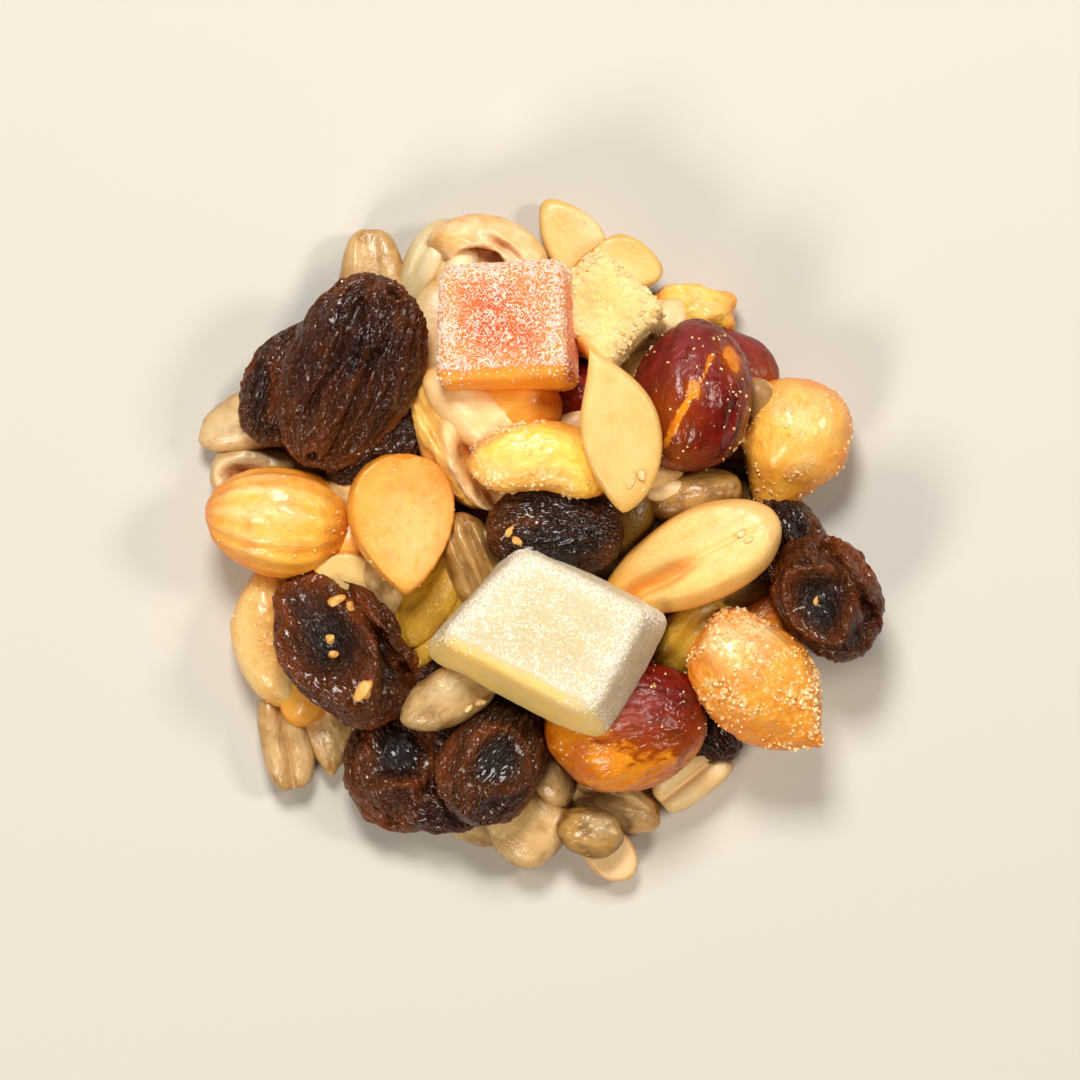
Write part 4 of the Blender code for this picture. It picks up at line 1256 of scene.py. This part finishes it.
@dataclass
class PieceGroup:
    """All the pieces of one kind, made as one mesh with one finish."""

    group: Group
    slot: str
    finish: Finish
    relief: Relief
    ridge_mm: float = 0.16
    pleat_mm: float = 0.0
    cut_side_sugar: float = 0.35
    face_sugar: float = 0.5

    def build(self, laid: list[Laid], tree: NodeTree) -> Object:
        """Makes the group's mesh with its relief and finish.

        Args:
            laid: Every piece of the heap with its place.
            tree: The tree that gives the relief.

        Returns:
            The finished object.
        """
        parts = [self.piece_arrays(one) for one in laid if one.piece.group is self.group]
        counts = np.cumsum([0] + [len(part["points"]) for part in parts])
        faces = np.concatenate([part.pop("faces") + start for part, start in zip(parts, counts)])
        merged = {name: np.concatenate([part[name] for part in parts]) for name in parts[0]}
        mesh = write_mesh(self.group.value, merged.pop("points") * MM, faces)
        for name, values in merged.items():
            write_attribute(mesh, name, values)
        item = new_object(self.group.value, mesh)
        run_tree(item, tree, self.finish.build(), self.relief.sizes())
        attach(item, "root")
        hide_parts(NODE)
        return item

    def piece_arrays(self, one: Laid) -> dict[str, np.ndarray]:
        """One piece's points in mm, its faces, and the values that its relief and finish read.

        Args:
            one: The piece with its place.

        Returns:
            Arrays by name, all but the faces with one row for each point.
        """
        piece = one.piece
        corners, faces = cube_grid(piece.steps)
        directions = corners / np.linalg.norm(corners, axis=1)[:, None]
        local = form(piece, directions, one.seed)
        unfurrowed = replace(piece, furrows=(), groove=0.0, cleft=0.0)
        sunk = np.linalg.norm(local - form(unfurrowed, directions, one.seed), axis=1)
        bare, pale = self.marks(piece, directions, one.seed)
        ridge = self.ridges(piece, directions, one.seed)
        outward = directions / np.array(piece.size)
        outward /= np.linalg.norm(outward, axis=1)[:, None]
        calm = 1.0 - 0.8 * bare if self.pleat_mm else np.ones(len(local))
        local = local + outward * (self.ridge_mm * (ridge - 0.35 * (ridge > 0)) * calm)[:, None]
        # On ridged pieces the pale patch follows the ridge crests: painted highlights along the ridges.
        if piece.ridges:
            pale = pale * (0.3 + 0.7 * ridge)
        world = local @ one.rotation.T + one.place - np.array([*HEAP_MIDDLE, 0.0])
        count = len(local)
        draw = np.random.default_rng(1000 + one.seed)
        shift = 1.0 + TONE_SPREAD * draw.uniform(-1.0, 1.0) + HUE_SPREAD * draw.uniform(-1.0, 1.0, 3)
        tint, shade = (np.array([*(np.array(linear(h)) * shift), 1.0]) for h in piece.tone.value)
        rim = np.sort(np.abs(corners), axis=1)[:, 1] if piece.square > 0.5 else np.zeros(count)
        # Painted side tone: the further a point faces away from straight up in the heap, the more painted
        # shade it gets on nuts and painted glow on raisins. On nuts the depth of furrows and grooves adds
        # painted shade inside them.
        facing = directions @ one.rotation.T
        edge = np.clip((0.7 - facing[:, 2]) / 0.6, 0.0, 1.0)
        return {
            "points": world,
            "faces": faces,
            "place": local + one.seed * PATTERN_STEP,
            "tint": np.tile(tint, (count, 1)),
            "shade": np.tile(shade, (count, 1)),
            "relief": piece.relief * calm,
            "rim": rim,
            "bare": bare,
            "pale": pale,
            "ridge": ridge,
            "side_shade_and_glow": edge if self.pleat_mm else np.clip(edge + 0.15 * sunk, 0.0, 1.0),
            "grit": self.grit(piece, directions, rim, facing, one.seed),
        }

    def ridges(self, piece: Piece, directions: np.ndarray, seed: int) -> np.ndarray:
        """Height from 0 to 1 of the ridges that run from end to end: thin pleats, or soft ridges.

        Args:
            piece: The piece.
            directions: Directions in the piece's own frame.
            seed: Number of the piece, which fixes how the ridges sway.

        Returns:
            One value for each direction, 0 where the piece has no ridges.
        """
        around = np.arctan2(directions[:, 2], directions[:, 1])
        fade = np.clip(4.0 * (1.0 - directions[:, 0] ** 2), 0.0, 1.0)
        if not self.pleat_mm:
            sway = 1.5 * np.sin(2.0 * around) + 0.6 * ripple(directions, seed + 400)
            return fade * (0.5 + 0.5 * np.cos(piece.ridges * around + sway)) if piece.ridges else 0.0 * around
        girth = math.pi * (piece.size[1] + piece.size[2]) / 2.0
        pairs = round(girth / self.pleat_mm) / 2.0
        sway = 1.9 * ripple(directions * 0.7, seed + 400) + 0.7 * ripple(directions * 2.2, seed + 500)
        closer = 2.0 * pairs * around + 1.7 * sway + ripple(directions * 3.0, seed + 700)
        broad = (1.0 - np.abs(np.sin(pairs * around + sway))) ** 1.4
        narrow = (1.0 - np.abs(np.sin(closer))) ** 1.4
        gain = np.clip(0.55 + 0.75 * ripple(directions * 1.6, seed + 600), 0.0, 1.1)
        return fade * (0.8 * broad * gain + 0.2 * narrow * (1.3 - gain))

    @staticmethod
    def marks(piece: Piece, directions: np.ndarray, seed: int) -> tuple[np.ndarray, np.ndarray]:
        """Where the piece is bare and where it is pale, from 0 to 1.

        Args:
            piece: The piece.
            directions: Directions in the piece's own frame.
            seed: Number of the piece, which fixes the outline of its hollows.

        Returns:
            The share of split skin, toasted spot, cut side or hollow floor, which on hollow floors is painted
            shade (on raisins also dried skin), and the share of pale patch, which on hollow rims is painted
            light.
        """
        bare, pale = np.zeros(len(directions)), np.zeros(len(directions))
        if piece.square > 0.5:
            bare = np.clip((-squared(directions, 1.0)[:, 1] - 0.75) / 0.15, 0.0, 1.0)
        for azimuth, elevation, spread, share in piece.bare:
            bare = np.maximum(bare, share * nearness(directions, azimuth, elevation, spread))
        for azimuth, elevation, spread, share in piece.pale:
            pale = np.maximum(pale, share * nearness(directions, azimuth, elevation, spread))
        # Hollow floors count as bare, which paints them darker as shade (on raisins also dried skin). Their
        # raised rims count as pale, which paints them lighter as painted light.
        for hollow in piece.hollows:
            floor, rim = hollow_parts(hollow, directions, seed)
            bare, pale = np.maximum(bare, floor), np.maximum(pale, 0.7 * rim)
        for offset, slope, width, start, end in piece.cracks:
            wander = 0.06 * ripple(directions * 2.5, 300)
            widening = width * (1.0 + 0.8 * ripple(directions * 1.7, 310))
            away = (directions[:, 1] - offset - slope * directions[:, 0] + wander) / widening
            inside = (directions[:, 0] > start) & (directions[:, 0] < end) & (directions[:, 2] > 0.0)
            bare = np.maximum(bare, np.exp(-(away**2)) * inside)
        return bare, pale

    def grit(self, piece: Piece, directions: np.ndarray, rim: np.ndarray, facing: np.ndarray,
             seed: int) -> np.ndarray:
        """Share of the grains that each point gets: more on edges, few on the cut side, none below.

        Args:
            piece: The piece.
            directions: Directions in the piece's own frame.
            rim: Nearness of each point to an edge of a cube.
            facing: The same directions in the heap's frame.
            seed: Number of the piece, which fixes the patches where grains gather.

        Returns:
            A share from 0 to 1.
        """
        seen = np.clip(facing[:, 2] * 2.5 + 1.1, 0.0, 1.0)
        if piece.square <= 0.5:
            return piece.grit * seen * np.clip(0.5 + 0.8 * ripple(directions * 1.6, seed + 200), 0.05, 1.0)
        edge = np.clip((rim - 0.6) / 0.35, 0.0, 1.0)
        share = self.face_sugar + (1.0 - self.face_sugar) * edge
        cut_side = np.clip((-directions[:, 1] - 0.6) / 0.1, 0.0, 1.0)
        return share * (1.0 - (1.0 - self.cut_side_sugar) * cut_side) * seen


@dataclass
class Grains:
    """Sugar, salt or crumbs on the surfaces of some groups."""

    name: str
    slot: str
    finish: Crystal
    size: float
    spread: float
    distance: float
    per_mm2: float
    flatness: float = 0.8

    def build(self, surfaces: list[Object], tree: NodeTree) -> Object:
        """Scatters the grains over the surfaces.

        Args:
            surfaces: Finished objects whose grit attribute says where grains lie.
            tree: The tree that scatters them.

        Returns:
            The grains as one object.
        """
        item = new_object(self.name, joined_copy(self.name, surfaces))
        run_tree(item, tree, self.finish.build(), {
            "Grain size": self.size, "Size spread": self.spread, "Grain distance": self.distance,
            "Grains per mm2": self.per_mm2, "Flatness": self.flatness,
        })
        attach(item, "root")
        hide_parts(NODE)
        return item


def joined_copy(name: str, items: list[Object]) -> Mesh:
    """Copies the points, triangles and grit of several objects into one mesh.

    Args:
        name: The mesh's name.
        items: The objects.

    Returns:
        The mesh.
    """
    points, faces, grit, start = [], [], [], 0
    for item in items:
        mesh = item.data
        mesh.calc_loop_triangles()
        co = np.empty(len(mesh.vertices) * 3, np.float32)
        mesh.vertices.foreach_get("co", co)
        corners = np.empty(len(mesh.loop_triangles) * 3, np.int32)
        mesh.loop_triangles.foreach_get("vertices", corners)
        share = np.empty(len(mesh.vertices), np.float32)
        mesh.attributes["grit"].data.foreach_get("value", share)
        points.append(co.reshape(-1, 3))
        faces.append(corners.reshape(-1, 3) + start)
        grit.append(share)
        start += len(mesh.vertices)
    mesh = write_mesh(name, np.concatenate(points), np.concatenate(faces))
    write_attribute(mesh, "grit", np.concatenate(grit))
    return mesh


@dataclass
class HiddenFill:
    """What lies under the pieces that show: a mound, and plain kernels and nuts all over it."""

    lowered: float = 2.4
    reach: float = 27.0
    least_height: float = 4.6
    rings: int = 12
    around: int = 48

    def mound_mesh(self, name: str, lowered: float, reach: float, least: float,
                   foot_height: float) -> Mesh:
        """The bed's surface, lowered and closed by a flat foot.

        Args:
            name: The mesh's name.
            lowered: How far below the bed it stays, in mm.
            reach: Its radius at the foot, in mm.
            least: Height of its edge, in mm.
            foot_height: Height of its flat underside, in mm.

        Returns:
            The mesh.
        """
        radii = reach * np.sin(np.linspace(0.0, math.pi / 2, self.rings + 1)[1:])
        heights = np.maximum(bed_height(radii * BED_RADIUS / reach) - lowered, least)
        angle = np.linspace(0.0, math.tau, self.around, endpoint=False)
        rows = [(radius, height) for radius, height in zip(radii, heights)] + [(reach, foot_height)]
        rings = [np.stack([r * np.cos(angle), r * np.sin(angle), np.full_like(angle, h)], axis=1)
                 for r, h in rows]
        top, foot = (0.0, 0.0, BED_HEIGHT - lowered), (0.0, 0.0, foot_height)
        points = np.concatenate([*rings, [top], [foot]]) - np.array([*HEAP_MIDDLE, 0.0])
        a = np.arange(self.around)
        b = (a + 1) % self.around
        corners = []
        for high in range(0, (len(rows) - 1) * self.around, self.around):
            low = high + self.around
            corners += [(low + a, low + b, high + b), (low + a, high + b, high + a)]
        last = (len(rows) - 1) * self.around
        peak = np.full_like(a, len(rows) * self.around)
        corners += [(a, b, peak), (last + b, last + a, peak + 1)]
        return write_mesh(name, points * MM, np.concatenate([np.stack(three, axis=1) for three in corners]))

    def build(self, tree: NodeTree) -> list[Object]:
        """Makes the mound and the kernels on it.

        Args:
            tree: The tree that covers a surface with kernels.

        Returns:
            Both objects.
        """
        finish = Crystal("hidden kernels", "B98A4E", "6E4A22", roughness=0.45, clear=0.1).build()
        low = self.mound_mesh("hidden_mound", self.lowered + 1.2, BED_RADIUS - 3.0, 0.4, 0.1)
        mound = new_object("hidden_mound", low)
        mound.data.materials.append(finish)
        bed = self.mound_mesh("hidden_kernels", 0.0, self.reach, self.least_height, self.least_height - 0.2)
        kernels = new_object("hidden_kernels", bed)
        run_tree(kernels, tree, finish, {"Sunk": self.lowered})
        for item in (mound, kernels):
            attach(item, "root")
            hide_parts(NODE)
        return [mound, kernels]


# Camera, floor and lights.


@dataclass(frozen=True)
class SoftBox:
    """A square studio light that points at the heap; metres, watts and degrees from above."""

    name: str
    azimuth: float
    elevation: float
    distance: float
    size: float
    power: float
    colour: tuple = (1.0, 1.0, 1.0)

    def build(self) -> None:
        """Makes the light."""
        light = bpy.data.lights.new(self.name, "AREA")
        light.size = self.size
        light.energy = self.power
        light.color = self.colour
        item = bpy.data.objects.new(self.name, light)
        item.location = Vector(toward(self.azimuth, self.elevation)) * self.distance
        item.rotation_euler = item.location.to_track_quat("Z", "Y").to_euler()
        bpy.context.scene.collection.objects.link(item)


@dataclass
class Studio:
    """Pale floor, soft lights and the camera that looks straight down on the heap."""

    camera_height: float = 0.61
    lens: float = 200.0
    floor_size: float = 1.6
    sky: float = 0.07
    lights: tuple = (
        SoftBox("north_box", 100.0, 56.0, 0.55, 0.15, 2.5, (1.0, 0.98, 0.94)),
        SoftBox("south_west_box", 235.0, 42.0, 0.6, 0.16, 1.9, (1.0, 0.91, 0.78)),
        SoftBox("east_strip", 15.0, 45.0, 0.5, 0.10, 0.9, (1.0, 0.93, 0.82)),
    )

    def build(self) -> None:
        """Makes all of it."""
        self.add_floor()
        self.add_camera()
        for light in self.lights:
            light.build()
        world = bpy.data.worlds.new("studio_air")
        bpy.context.scene.world = world
        world.use_nodes = True
        air = world.node_tree.nodes["Background"]
        air.inputs["Color"].default_value = (1.0, 0.93, 0.84, 1.0)
        air.inputs["Strength"].default_value = self.sky
        bpy.context.scene.view_settings.view_transform = "Standard"

    def add_floor(self) -> None:
        """Makes the pale floor, which is no part of the heap."""
        half = self.floor_size / 2
        corners = np.array([(-half, -half, 0.0), (half, -half, 0.0), (half, half, 0.0), (-half, half, 0.0)])
        floor = new_object("floor", write_mesh("floor", corners, np.array([[0, 1, 2, 3]])))
        floor.data.materials.append(PaintedBoard().build())

    def add_camera(self) -> None:
        """Makes the camera: straight down, with +Y at the top of the picture."""
        camera = bpy.data.cameras.new("camera")
        camera.lens = self.lens
        camera.sensor_width = 36.0
        camera.clip_start = 0.01
        item = bpy.data.objects.new("camera", camera)
        item.location = (-HEAP_MIDDLE[0] * MM, -HEAP_MIDDLE[1] * MM, self.camera_height)
        bpy.context.scene.collection.objects.link(item)
        bpy.context.scene.camera = item


GROUPS = (
    PieceGroup(Group.RAISINS_LARGE, "raisin", RaisinSkin(),
               Relief(2.4, 0.28, 0.95, 0.2, stretch=1.9, wander=2.2, folded=1.0),
               ridge_mm=0.45, pleat_mm=1.5),
    PieceGroup(Group.RAISINS_SMALL, "raisin", RaisinSkin("small dried grape skin"),
               Relief(2.0, 0.26, 0.85, 0.17, stretch=1.7, wander=2.2, folded=1.0),
               ridge_mm=0.38, pleat_mm=1.25),
    PieceGroup(Group.ORANGE_CUBE, "candied_orange",
               SugaredFruit("candied papaya", "FFDCCB", "FFA630", 0.026, 0.07, glow=(1.0, 0.42, 0.12)),
               Relief(2.2, 0.2, 0.5, 0.1), face_sugar=0.1, cut_side_sugar=0.25),
    PieceGroup(Group.PALE_WEDGE, "candied_pale",
               SugaredFruit("candied pineapple", "F4EDDC", "FFD37A", 0.03, 0.085, crystal_mm=0.4,
                            depth_mm=2.0, jelly_share=0.6, glow=(1.0, 0.7, 0.35)),
               Relief(2.4, 0.25, 0.5, 0.1), face_sugar=0.1, cut_side_sugar=0.25),
    PieceGroup(Group.DICE, "candied_pale",
               SugaredFruit("sugared pineapple", "FFE2A6", "FFC060", 0.012, 0.03, crystal_mm=0.5,
                            depth_mm=1.6, jelly_share=0.4, glow=(1.0, 0.6, 0.25)),
               Relief(1.4, 0.4, 0.6, 0.25), face_sugar=0.25, cut_side_sugar=0.8),
    PieceGroup(Group.ROASTED, "roasted_nut",
               NutFlesh("honey roasted nut", mottle=0.6, streak=0.05, roughness=0.42, coat=0.3,
                        painted_side_shade=0.8, flecks=0.7, grain_depth=0.05, pale_hex="FFEDB4", toast_and_hollow_shade_hex="C46A16"),
               Relief(1.5, 0.28, 0.55, 0.12), ridge_mm=0.2),
    PieceGroup(Group.RED_SKIN, "red_skin_nut", RedNutSkin(),
               Relief(1.8, 0.1, 0.7, 0.04, stretch=3.0, folded=1.0)),
    PieceGroup(Group.PALE_NUT, "pale_nut",
               NutFlesh("blanched nut", mottle=0.35, streak=0.03, roughness=0.38, coat=0.08, painted_side_shade=0.7,
                        grain_depth=0.04),
               Relief(2.6, 0.12, 0.8, 0.03, stretch=2.0)),
    PieceGroup(Group.KERNEL, "kernel",
               NutFlesh("hulled seed kernel", mottle_mm=2.4, mottle=0.6, streak=0.15, roughness=0.3,
                        coat=0.2, painted_side_shade=0.6, grain_mm=0.7, grain_depth=0.12),
               Relief(1.7, 0.3, 0.7, 0.12, stretch=2.0, folded=0.2)),
    PieceGroup(Group.GREEN, "green_seed",
               NutFlesh("pumpkin seed kernel", mottle=0.5, streak=0.3, roughness=0.34, coat=0.1,
                        painted_side_shade=0.5, grain_depth=0.08),
               Relief(1.6, 0.15, 0.6, 0.05, stretch=3.0)),
    PieceGroup(Group.CRUMB, "crumbs", NutFlesh("broken nut", mottle=0.6), Relief(0.7, 0.25, 0.3, 0.1)),
)

GRAINS = (
    (Grains("papaya_sugar", "crumbs", Crystal("white sugar on orange", "FFE9DC", "FFCDAA", 0.4),
            0.18, 0.5, 0.12, 6.0, 0.6), (Group.ORANGE_CUBE,)),
    (Grains("pineapple_sugar", "crumbs", Crystal("white sugar", "FBF8EE", "F4EAD0", 0.5),
            0.15, 0.5, 0.12, 5.0, 0.6), (Group.PALE_WEDGE,)),
    (Grains("dice_sugar", "crumbs", Crystal("pale sugar", "FFE6B0", "FFD084", 0.35, 0.2),
            0.36, 0.6, 0.22, 2.4, 0.6), (Group.DICE,)),
    (Grains("salt_on_nuts", "crumbs", Crystal("salt and sugar on nuts", "FFE6B4", "FFBE68", 0.35, 0.2),
            0.34, 0.6, 0.15, 3.4, 0.5), (Group.ROASTED, Group.RED_SKIN, Group.PALE_NUT)),
)


def main() -> None:
    """Builds the heap, dresses it and reports every piece."""
    logging.basicConfig(level=logging.INFO, format="%(message)s")
    Studio().build()
    laid = lay(PIECES)
    relief, scatter = relief_tree(), scatter_tree()
    made = {kind.group: kind.build(laid, relief) for kind in GROUPS}
    grains = [rule.build([made[group] for group in groups], scatter) for rule, groups in GRAINS]
    fill = HiddenFill().build(fill_tree())
    for item in [*made.values(), *grains, *fill]:
        item.data.calc_loop_triangles()
        log.info("%s: %d triangles", item.name, len(item.data.loop_triangles))


if __name__ == "__main__":
    main()
